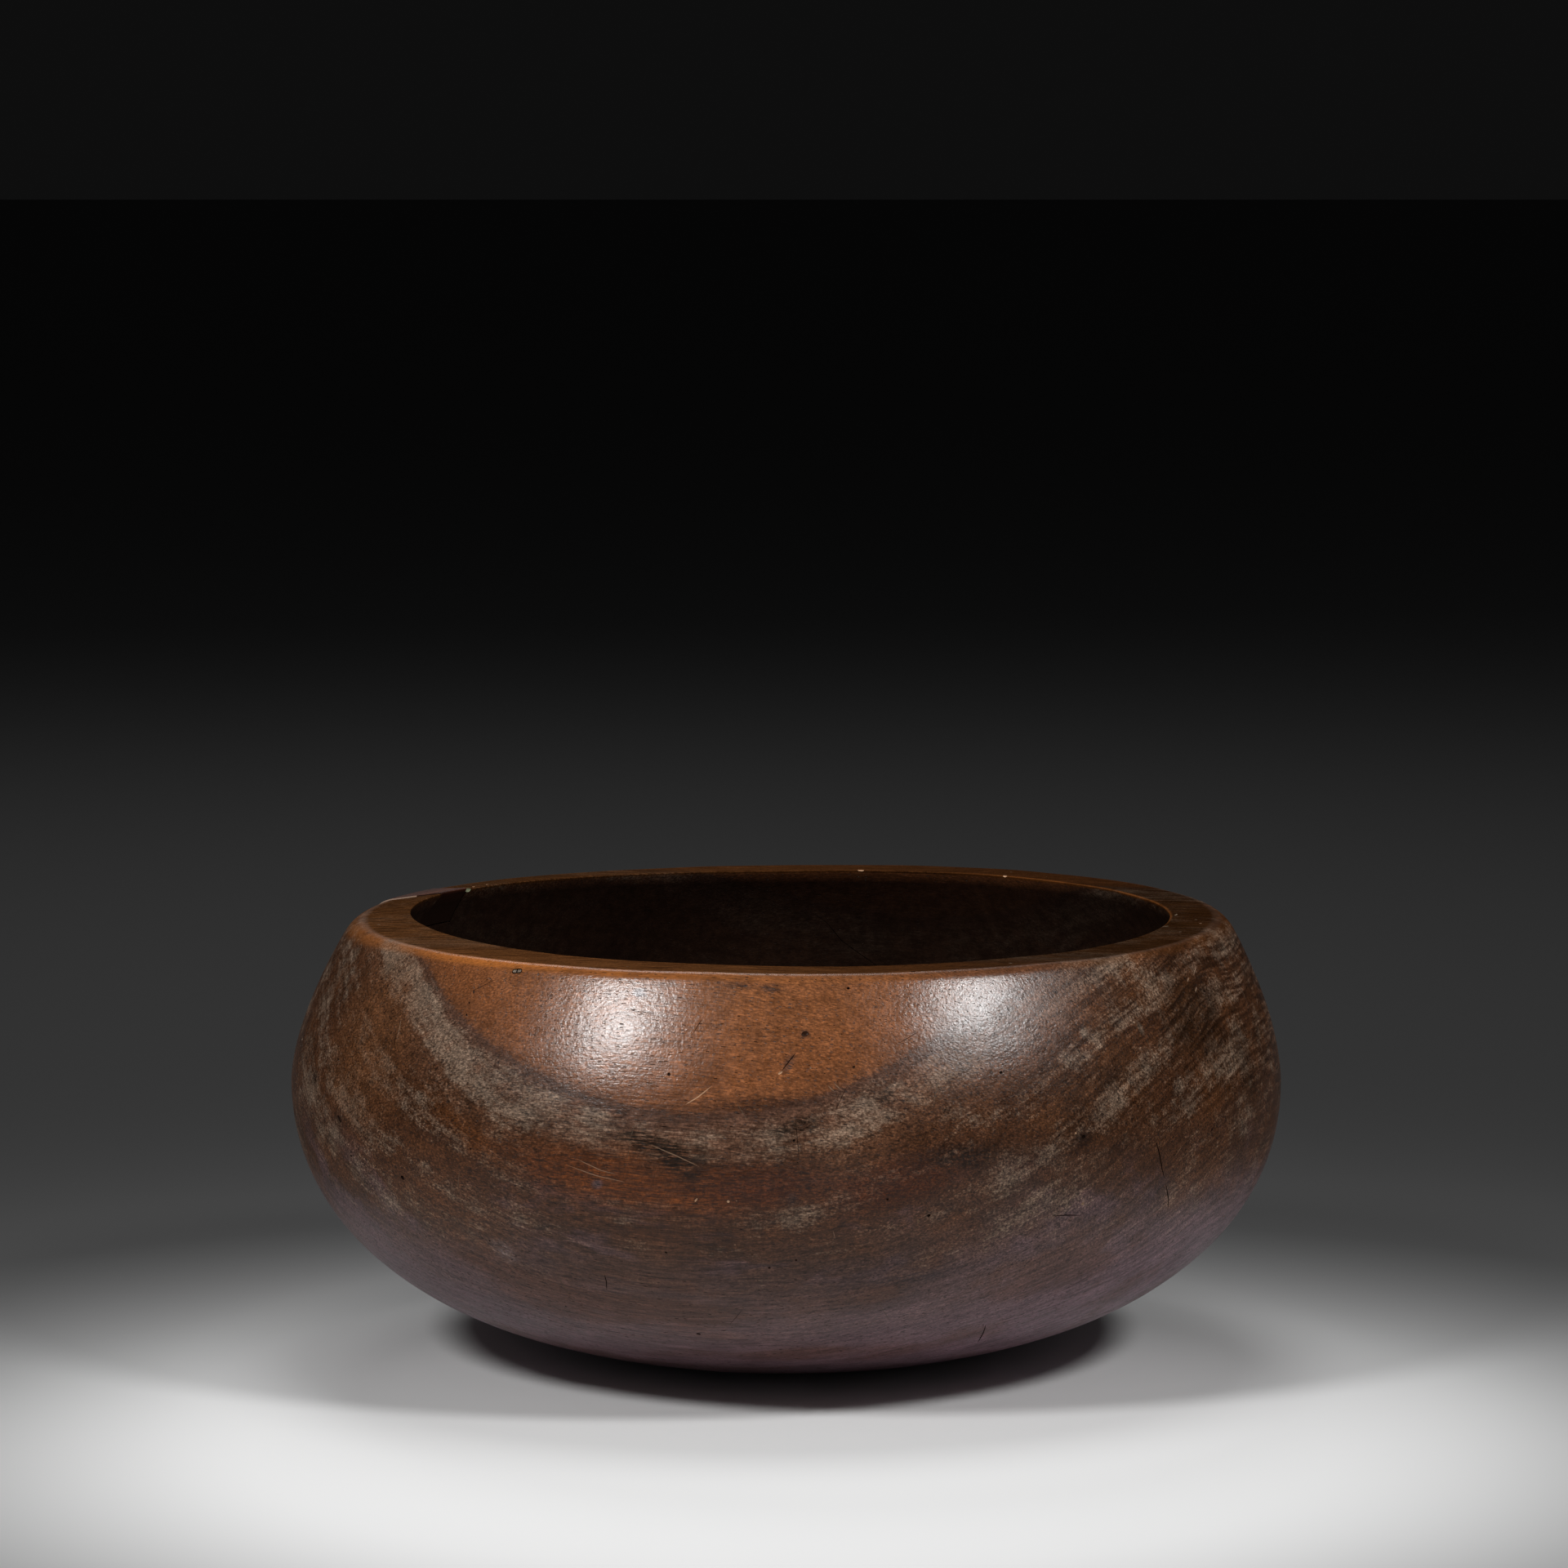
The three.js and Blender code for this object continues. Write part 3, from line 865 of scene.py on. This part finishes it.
# Stains seen on the wall: azimuth, height, width and height across in mm, lean, colour, strength, and
# how broken the stain is. Each fades out over a fringe, and reaches a little way into the wood.
STAIN_FRINGE = 1.3
STAIN_DEPTH = 14 * MM
STAINS = (
    ("veil over the tongue's right", 27, 122, 64, 44, 20, tone(92, 62, 48), 0.85, 0.2),
    ("warm patch", -16.0, 74.0, 104, 20, -6, tone(92, 46, 12), 0.95, 0.4),
    ("warm patch, right", 12.0, 74.0, 50, 16, 14, tone(64, 27, 5), 0.9, 0.4),
    ("warm patch, middle", -3.0, 74.0, 44, 16, 2, tone(70, 32, 8), 0.9, 0.4),
    ("deep brown right", 38.0, 80.0, 46, 24, 18, tone(62, 37, 20), 0.6, 0.6),
    ("warm streak", -37.0, 83.0, 40, 8, -30, tone(92, 52, 24), 0.7, 0.6),
    ("warm left shoulder", -57.0, 103.0, 44, 56, 8, tone(106, 68, 42), 0.65, 0.4),
    ("brown right", 36.0, 96.0, 50, 14, 30, tone(70, 46, 30), 0.5, 0.7),
    ("pin knot", -17.9, 125.2, 4.6, 3.4, 0, KNOT_GREY, 0.75, 0.4),
    ("second knot", 2.1, 115.3, 3.4, 2.8, 0, tone(48, 36, 34), 0.7, 0.6),
    ("smudge on the edge", -5.7, 128.0, 9, 2.8, 0, tone(44, 30, 22), 0.8, 0.8),
    ("second smudge", -1.8, 127.3, 8, 3.2, 0, tone(50, 38, 34), 0.8, 0.8),
    ("chip's bruise", 0.2, 107.6, 3.2, 7, -25, tone(62, 48, 44), 0.7, 0.6),
    ("bark stain", -14.0, 84.6, 38, 8, -13, BARK_DARK, 0.95, 1),
    ("bark stain, low", -11.6, 79.0, 20, 9, -28, BARK_DARK, 0.9, 1),
    ("dark streak", 0.8, 90.2, 20, 5, 17, tone(34, 25, 17), 0.85, 0.9),
    ("dark edge under the tongue", -4.0, 96.6, 34, 4.5, 3, tone(44, 28, 22), 0.8, 0.8),
    ("dark knot on the right", 11.0, 98.4, 7, 5, 25, tone(34, 26, 20), 0.8, 0.8),
    ("right stain", 19.4, 80.5, 28, 8, 2, tone(30, 21, 13), 0.85, 1),
    ("round dark spot", 34.1, 83.5, 7, 5, 0, tone(40, 22, 12), 0.85, 0.3),
    ("left knot", -60.5, 80.5, 11, 7, -40, tone(50, 26, 11), 0.8, 0.6),
    ("left knot, high", -68.8, 89.5, 9, 5, -35, tone(40, 24, 12), 0.7, 0.6),
    ("bluish mark", -20.9, 72.5, 4, 3, 20, tone(78, 70, 76), 0.7, 0.4),
    ("smudge below", 0.6, 70.2, 3.5, 4, 0, tone(46, 38, 38), 0.6, 0.5),
    ("grey spot", 36.4, 111.9, 3.0, 4.0, -20, tone(116, 102, 88), 0.6, 0.2),
    ("second grey spot", 45.3, 111.0, 2.4, 4.4, 12, tone(110, 96, 82), 0.55, 0.2),
    ("low smear", 15.2, 44.8, 28, 5, 8, tone(48, 38, 40), 0.7, 0.8),
    ("speck cluster", -35.0, 49.0, 10, 8, -40, tone(120, 106, 106), 0.4, 1),
    ("dark upper right", 56.0, 112.0, 38, 32, 30, tone(50, 29, 14), 1.0, 0.45),
    ("far right streak", 66.0, 92.0, 14, 30, 30, tone(40, 25, 14), 0.6, 1),
)


def finish_oiled_wood(material):
    recipe = empty_recipe(material)
    place = recipe.add("ShaderNodeTexCoord", out=3)
    here = recipe.vector("DIVIDE", place, (MM, MM, MM))
    log = recipe.along_log(place)
    bare_ring = recipe.ring_radius(log)

    # The rings wander slowly along the log and break into fine teeth along the fibres.
    slow = recipe.minus(recipe.noise(log, (90, 50, 50), 0), 0.5)
    teeth = recipe.minus(recipe.noise(log, (9, 0.9, 0.9), 4, 0.62), 0.5)
    sway = recipe.remap(bare_ring, 205, 190, 3, 12)
    calm_ring = recipe.plus(bare_ring, recipe.times(slow, sway))
    ring = recipe.plus(calm_ring, recipe.times(teeth, 3.4))
    split_place = recipe.add("ShaderNodeSeparateXYZ", {0: here}, out=None).outputs
    sideways = recipe.math("ABSOLUTE", split_place[0])
    height = split_place[2]
    browner = recipe.times(recipe.remap(sideways, 60, 135, 0, 46), recipe.remap(height, 35, 75))
    side_ring = recipe.math("MINIMUM", recipe.plus(ring, browner), 196)
    colour = recipe.ramp(recipe.largest(ring, side_ring), RING_COLOURS_AND_LOW_SHEEN)
    heartwood = recipe.remap(ring, TONGUE_RING, TONGUE_RING - 3.2)

    # Broad changes of hue. Low down, the mauve also carries a painted lavender reflection of the pale floor.
    hue = recipe.noise(log, (60, 20, 20), 4, 0.62)
    warm = recipe.times(recipe.remap(hue, 0.48, 0.62, 0, 0.45), heartwood)
    colour = recipe.mix(warm, colour, WARM_BROWN)
    cool_and_sheen = recipe.times(recipe.remap(hue, 0.48, 0.36, 0, 0.5), recipe.remap(height, 84, 58))
    colour = recipe.mix(cool_and_sheen, colour, MAUVE_AND_FLOOR_SHEEN)

    # The patterns that run through the wood: lines of the rings, fibres and flecks along the log, and
    # a fine grit all over.
    grit = recipe.noise(here, 0.8, 4, 0.72)
    fibres = recipe.noise(log, (14, 0.45, 0.45), 3, 0.65)
    flecks = recipe.noise(log, (3.4, 0.34, 0.34), 2, 0.6)
    mottle = recipe.noise(here, 3.6, 5, 0.7)
    split_log = recipe.add("ShaderNodeSeparateXYZ", {0: log}, out=None).outputs
    round_pith = recipe.math("ARCTAN2", split_log[1], split_log[2])
    ring_dash = recipe.add("ShaderNodeCombineXYZ", {
        0: recipe.math("DIVIDE", split_log[0], 22), 1: recipe.times(round_pith, 11),
        2: recipe.math("DIVIDE", calm_ring, 1.25)})
    ring_lines = recipe.noise(ring_dash, 1, 3, 0.62)
    on_right = recipe.remap(split_place[0], 45, 100)

    # A grey-beige patina clings to some rings, and to the bowl's sides more than to its front. The
    # same patterns break it up.
    def band(middle, half):
        return recipe.remap(recipe.math("ABSOLUTE", recipe.minus(ring, middle)), half, half * 0.35)

    film = recipe.times(band(211, 6), 0.17)
    for middle, half, strength in ((196, 5, 0.1), (184, 5, 0.08), (170, 8, 0.08)):
        film = recipe.plus(film, recipe.times(band(middle, half), strength))
    film = recipe.plus(film, recipe.remap(sideways, 45, 110, 0, 0.07))
    film = recipe.minus(film, recipe.remap(height, 66, 36, 0, 0.1))
    for pattern, share in (
            (recipe.noise(log, (13, 5, 5), 5, 0.7), 0.5), (recipe.noise(here, 20, 3, 0.6), 0.5),
            (recipe.minus(grit, 0.5), 0.4), (recipe.minus(fibres, 0.5), 0.2),
            (recipe.minus(ring_lines, 0.5), 0.32)):
        film = recipe.plus(film, recipe.times(pattern, share))
    patina = recipe.times(recipe.remap(film, 0.57, 0.82, 0, 0.7), heartwood)
    colour = recipe.mix(patina, colour, PATINA)

    # Stains and knots, broken up along the fibres so that none has a clean edge.
    ragged = recipe.noise(log, (5, 0.75, 0.75), 5, 0.7)
    for _, azimuth, up, across, tall, lean, stain, strength, broken in STAINS:
        size = Vector((across / 2 * MM * STAIN_FRINGE, tall / 2 * MM * STAIN_FRINGE, STAIN_DEPTH))
        spot = recipe.spot(place, frame_at(*on_wall(azimuth, up), lean), size)
        amount = recipe.times(spot, recipe.remap(ragged, 0.4, 0.56, 1 - broken, 1), strength)
        colour = recipe.mix(amount, colour, stain)

    # The patterns tint the wood, the heartwood more than the smooth tongue.
    tinted = colour
    for pattern, darkest, lightest in ((fibres, 0.6, 1.4), (flecks, 0.68, 1.32), (grit, 0.66, 1.34),
                                       (mottle, 0.84, 1.16), (recipe.noise(here, 11, 3, 0.6), 0.86, 1.14)):
        tinted = recipe.shade(tinted, pattern, darkest, lightest, 0.34, 0.66)
    texture = recipe.times(recipe.remap(heartwood, 0, 1, 0.75, 1), recipe.remap(height, 30, 75, 0.5, 1))
    colour = recipe.mix(texture, colour, tinted)
    lined = recipe.shade(colour, ring_lines, 0.5, 1.45, 0.34, 0.66)
    lines_show = recipe.times(on_right, recipe.remap(height, 76, 108, 0.3, 1), 0.7)
    lines_show = recipe.plus(lines_show, recipe.remap(height, 45, 75, 0.5, 0.25))
    colour = recipe.mix(recipe.times(lines_show, heartwood), colour, lined)
    streak = recipe.noise(log, (22, 0.9, 0.9), 4, 0.65)
    streaks = recipe.times(recipe.remap(streak, 0.55, 0.66, 0, 0.75), recipe.remap(ring, 218, 210, 0.15, 1))
    colour = recipe.mix(streaks, colour, STREAK_DARK)

    # Wear and painted light: the land is dull brown and streaked along the fibres, with painted shade that
    # darkens it to the right and towards the back; the outer edge is rubbed to bare orange wood at the front
    # left, with a painted highlight of the lit edge in it, and the lip behind on the right is worn orange,
    # with painted light of the lit inner lip in it; and the hollow is painted dark, a painted shade of the
    # deep inside.
    land = recipe.zone("land")
    arris = recipe.zone("arris")
    hollow = recipe.zone("hollow")
    land_tone_and_shade = recipe.shade(LAND_BROWN[:3], streak, 0.5, 1.5, 0.4, 0.6)
    land_tone_and_shade = recipe.shade(land_tone_and_shade, fibres, 0.55, 1.45)
    land_tone_and_shade = recipe.shade(land_tone_and_shade, grit, 0.75, 1.25)
    # Painted shade: the land is drawn darker to the right and towards the back.
    land_tone_and_shade = recipe.shade(land_tone_and_shade, split_place[0], 0.95, 0.27, -70, 90)
    land_tone_and_shade = recipe.shade(land_tone_and_shade, split_place[1], 1.0, 0.6, -40, 60)
    colour = recipe.mix(recipe.times(land, 0.9), colour, land_tone_and_shade)
    # This breakup pattern serves both the worn, lit outer edge and the worn, lit lip below.
    rubbed = recipe.remap(recipe.noise(here, (26, 26, 8), 4, 0.65), 0.36, 0.56, 0.35, 1)
    front = recipe.remap(split_place[1], 20, -60)
    edge_left = recipe.remap(split_place[0], -118, -85, 0.35, 0.95)
    edge_right = recipe.remap(split_place[0], -90, 30, 1, 0.1)
    bare_and_lit_edge = recipe.times(edge_left, edge_right, recipe.remap(front, 0, 1, 0.25, 1))
    worn = recipe.times(recipe.remap(arris, 0.1, 0.8), rubbed, bare_and_lit_edge)
    # Painted highlight and wear: the outer edge at the front left in bare orange, lightened as a lit edge.
    colour = recipe.mix(worn, colour, recipe.shade(ARRIS_WORN_AND_LIT[:3], fibres, 0.75, 1.2))
    # Painted light and wear: the lip behind on the right in worn orange, lightened as a lit inner lip.
    lip_right = recipe.remap(split_place[0], 40, 95, 0.05, 0.5)
    bare_and_lit_lip = recipe.times(lip_right, recipe.remap(front, 1, 0, 0.1, 1))
    lip_worn_and_lit = recipe.times(recipe.remap(recipe.zone("lip"), 0.5, 1), rubbed, bare_and_lit_lip)
    colour = recipe.mix(lip_worn_and_lit, colour, LIP_WORN_AND_LIT)
    # Painted shade: the hollow is drawn nearly all in the dark colour of its painted shade, lightly mottled.
    hollow_painted_shade = recipe.shade(recipe.mix(0.06, PAINTED_HOLLOW_SHADE, colour), mottle, 0.75, 1.25)
    colour = recipe.mix(hollow, colour, hollow_painted_shade)

    # Fine pores: short dashes where the fibres lie along the surface and dots where they run into it.
    cells = recipe.add("ShaderNodeTexVoronoi", {
        "Vector": recipe.vector("DIVIDE", log, (2.6, 0.62, 0.62)), "Scale": 1.0, "Randomness": 1.0}, out=None)
    chance_here = recipe.add("ShaderNodeSeparateColor", {0: cells.outputs["Color"]})
    widest = recipe.remap(chance_here, 0.25, 1.0, 0.03, 0.26)
    pore = recipe.remap(recipe.minus(cells.outputs["Distance"], widest), 0.03, -0.05)
    colour = recipe.mix(recipe.times(pore, 0.75), colour, PORE_DARK)

    colour, cut_cover = recipe.show_cuts(colour)

    # Heights in mm: sunk pores, a leathery skin, slow undulations and raised fibres.
    relief = recipe.times(pore, -0.1)
    skin = recipe.noise(here, 1.2, 3, 0.6)
    undulations = recipe.noise(here, 12, 1)
    for pattern, rise in ((skin, 0.1), (undulations, 0.16), (fibres, 0.05)):
        relief = recipe.plus(relief, recipe.times(pattern, rise))
    bump = recipe.add("ShaderNodeBump", {"Strength": 1.0, "Distance": MM, "Height": relief})

    # Handling has polished the shoulder. Patina, the land, the hollow and the wood low down are dull.
    polish = recipe.remap(height, 62, 98)
    dull = recipe.plus(patina, recipe.largest(land, hollow))
    roughness = recipe.remap(mottle, 0.3, 0.7, 0.25, 0.33)
    for pattern, share in ((dull, 0.14), (pore, 0.3)):
        roughness = recipe.plus(roughness, recipe.times(pattern, share))
    roughness = recipe.plus(roughness, recipe.remap(polish, 0, 1, 0.12, 0))
    rubbed_dull = recipe.largest(land, recipe.times(arris, 0.9), recipe.times(hollow, 0.7))
    lively = recipe.times(recipe.minus(1, cut_cover), recipe.remap(rubbed_dull, 0, 1, 1, 0))
    shine = recipe.times(recipe.remap(polish, 0, 1, 0.22, 0.37), lively)
    coat = recipe.times(recipe.remap(recipe.plus(dull, pore), 0, 1, 0.34, 0.06), polish, lively)
    wood = recipe.add("ShaderNodeBsdfPrincipled", {
        "Base Color": colour, "Roughness": roughness, "Specular IOR Level": shine, "Normal": bump,
        "IOR": WOOD_IOR, "Coat Weight": coat, "Coat Roughness": 0.16, "Coat Normal": bump})
    recipe.add("ShaderNodeOutputMaterial", {0: wood}, out=None)


finish_oiled_wood(oiled_wood)
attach(carved_bowl, "root")
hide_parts("bowl_body")


# The patch: a short piece of darker, redder wood let into the rim where it broke, its near end cut
# slantwise and its far end square. It stands a little proud, and the outer part of its near end is painted
# pale as a painted highlight of that lit edge, so it shows as a pale line.
PATCH_PROUD = 0.35 * MM
PATCH_GAP = 0.12 * MM
# Painted highlight: the pale colour of the patch's near end, standing in for its lit edge.
PAINTED_END_HIGHLIGHT = tone(176, 148, 128, 0.9)
PATCH_COLOURS = ((0.3, tone(36, 18, 13)), (0.5, tone(58, 30, 20)), (0.7, tone(74, 40, 26)))
PATCH_FIBRES = (12, 0.5, 0.5)
PATCH_GRAIN = Euler((0, 0, math.radians(64)))
PATCH_ROUGHNESS = 0.42
PATCH_SHINE = 0.04

patch_wood = bpy.data.materials.new("patch_wood")
rim_patch = new_object("inlaid_rim_patch", whole_block.copy())
cut(rim_patch, patch_prism(PATCH_GAP, "patch_shape", PAINTED_END_HIGHLIGHT), "INTERSECT")
restore_zones(rim_patch)
rim_patch.data.transform(Matrix.Translation((0, 0, PATCH_PROUD)))


def plain_wood(material, stops, fibre_size, grain_turn, roughness, shine):
    """A plainer wood: ring lines, fibres along one direction and a little mottling."""
    recipe = empty_recipe(material)
    here = recipe.vector("DIVIDE", recipe.add("ShaderNodeTexCoord", out=3), (MM, MM, MM))
    grain = recipe.add("ShaderNodeVectorRotate", {
        "Vector": here, "Rotation": tuple(grain_turn)}, rotation_type="EULER_XYZ", invert=True)
    rings = recipe.noise(grain, (60, 3.5, 7), 3, 0.6)
    colour = recipe.ramp(rings, stops)
    fibres = recipe.noise(grain, fibre_size, 3, 0.6)
    colour = recipe.shade(colour, fibres, 0.75, 1.25)
    mottle = recipe.noise(here, 2.2, 4, 0.65)
    colour = recipe.shade(colour, mottle, 0.82, 1.2)
    # Painted shade: where a piece reaches into the hollow it takes the hollow's painted shade colour.
    colour = recipe.mix(recipe.zone("hollow"), colour, PAINTED_HOLLOW_SHADE)
    colour = recipe.show_cuts(colour)[0]
    relief = recipe.plus(recipe.times(fibres, 0.05), recipe.times(mottle, 0.05))
    bump = recipe.add("ShaderNodeBump", {"Strength": 1.0, "Distance": MM, "Height": relief})
    wood = recipe.add("ShaderNodeBsdfPrincipled", {
        "Base Color": colour, "Specular IOR Level": shine, "Normal": bump, "IOR": WOOD_IOR,
        "Roughness": recipe.remap(mottle, 0.3, 0.7, roughness - 0.06, roughness + 0.08)})
    recipe.add("ShaderNodeOutputMaterial", {0: wood}, out=None)


plain_wood(patch_wood, PATCH_COLOURS, PATCH_FIBRES, PATCH_GRAIN, PATCH_ROUGHNESS, PATCH_SHINE)
finish_mesh(rim_patch, patch_wood)
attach(rim_patch, "root")
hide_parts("rim_patch")


# The peg: a thin flat pin of pale wood, driven slantwise into the wall just below the rim's edge and
# trimmed flush, so that only its end grain shows, darkened round its sides and at the split across it.
# Its pale end also stands for the two glints on it: a painted highlight.
PEG_SHRINK = 0.18 * MM
# Painted highlight: the peg's pale end grain also holds the two glints on its end.
PEG_COLOURS_AND_GLINTS = ((0.3, tone(84, 70, 58)), (0.5, tone(112, 98, 84)), (0.7, tone(136, 122, 106)))
PEG_FIBRES = (0.5, 0.5, 4)
PEG_GRAIN = Euler((math.radians(30), 0, 0))
PEG_ROUGHNESS = 0.55
PEG_SHINE = 0.3

peg_wood = bpy.data.materials.new("peg_wood")
rim_peg = new_object("trimmed_rim_peg", whole_block.copy())
cut(rim_peg, peg_pin(-PEG_SHRINK, PEG_LENGTH, "peg_shape"), "INTERSECT")
peg_split = new_cutter()
add_pit(peg_split, on_wall(PEG_AZIMUTH, PEG_HEIGHT), 0.5 * MM, 1.6 * MM, 0.5 * MM, SPLIT_DARK, PEG_ROLL)
cut(rim_peg, as_object("peg_split", peg_split))
plain_wood(peg_wood, PEG_COLOURS_AND_GLINTS, PEG_FIBRES, PEG_GRAIN, PEG_ROUGHNESS, PEG_SHINE)
restore_zones(rim_peg)
finish_mesh(rim_peg, peg_wood)
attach(rim_peg, "root")
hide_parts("rim_peg")


# The bowl stands under a weak even light on a pale floor with a pool of light painted into it: pale in
# front of the bowl and darker away from it on every side. One softbox stands to the left of the front and
# one to the right, both a little above 40 degrees. A large one hangs overhead and another stands behind.
# What is seen or mirrored behind is the dark studio.
FLOOR_HALF = 60.0
PAINTED_POOL_MIDDLE = Vector((0, -0.15, 0))
# The painted pool of light: the floor's grey at a distance from the pool's pale middle.
PAINTED_POOL_COLOURS = [(away, (grey, grey, grey, 1)) for away, grey in (
    (0, 0.72), (0.15, 0.72), (0.26, 0.17), (0.38, 0.028), (0.75, 0.022))]
SKY_STRENGTH = 0.08
STUDIO_DARK = 0.0045
# Each softbox: name, direction, the point it faces, distance, size across, power.
SOFTBOXES = (
    ("left_softbox", Vector((-0.574, -0.494, 0.652)), Vector((-44.4, -132.0, 117.8)) * MM, 1.6, 0.36, 17),
    ("right_softbox", Vector((0.613, -0.406, 0.677)), Vector((57.0, -124.4, 122.5)) * MM, 1.6, 0.32, 15.5),
    ("high_softbox", Vector((0.05, 0.2, 0.98)), Vector((0, 0, 60)) * MM, 1.8, 0.8, 9),
    ("back_softbox", Vector((-0.1, 0.68, 0.73)), Vector((0, 60, 80)) * MM, 1.9, 0.9, 13),
)

floor_shape = bmesh.new()
bmesh.ops.create_grid(floor_shape, x_segments=1, y_segments=1, size=FLOOR_HALF)
floor = as_object("studio_floor", floor_shape)
painted_pool_floor = bpy.data.materials.new("painted_pool_floor")
paint = empty_recipe(painted_pool_floor)
from_middle = paint.vector("SUBTRACT", paint.add("ShaderNodeTexCoord", out=3), tuple(PAINTED_POOL_MIDDLE))
# Painted light: the floor's colour fades from the painted pool's middle outwards.
painted_light_pool = paint.ramp(paint.vector("LENGTH", from_middle, out=1), PAINTED_POOL_COLOURS)
painted_light_pool.node.color_ramp.interpolation = "B_SPLINE"
matt = paint.add("ShaderNodeBsdfPrincipled", {
    "Base Color": painted_light_pool, "Roughness": 0.9, "Specular IOR Level": 0.1})
paint.add("ShaderNodeOutputMaterial", {0: matt}, out=None)
floor.data.materials.append(painted_pool_floor)

for name, direction, target, distance, across, power in SOFTBOXES:
    lamp = bpy.data.lights.new(name, "AREA")
    lamp.shape = "DISK"
    lamp.size = across
    lamp.energy = power
    softbox = bpy.data.objects.new(name, lamp)
    bpy.context.scene.collection.objects.link(softbox)
    softbox.location = target + direction.normalized() * distance
    softbox.rotation_euler = direction.to_track_quat("Z", "Y").to_euler()

world = bpy.data.worlds.new("studio")
air = empty_recipe(world)
path = air.add("ShaderNodeLightPath", out=None).outputs
seen = air.largest(path["Is Camera Ray"], path["Is Glossy Ray"], path["Is Transmission Ray"])
strength = air.math("MULTIPLY_ADD", seen, STUDIO_DARK - SKY_STRENGTH, SKY_STRENGTH)
even_light = air.add("ShaderNodeBackground", {"Color": (1, 1, 1, 1), "Strength": strength})
air.add("ShaderNodeOutputWorld", {0: even_light}, out=None)
bpy.context.scene.world = world
bpy.context.scene.view_settings.view_transform = "Standard"
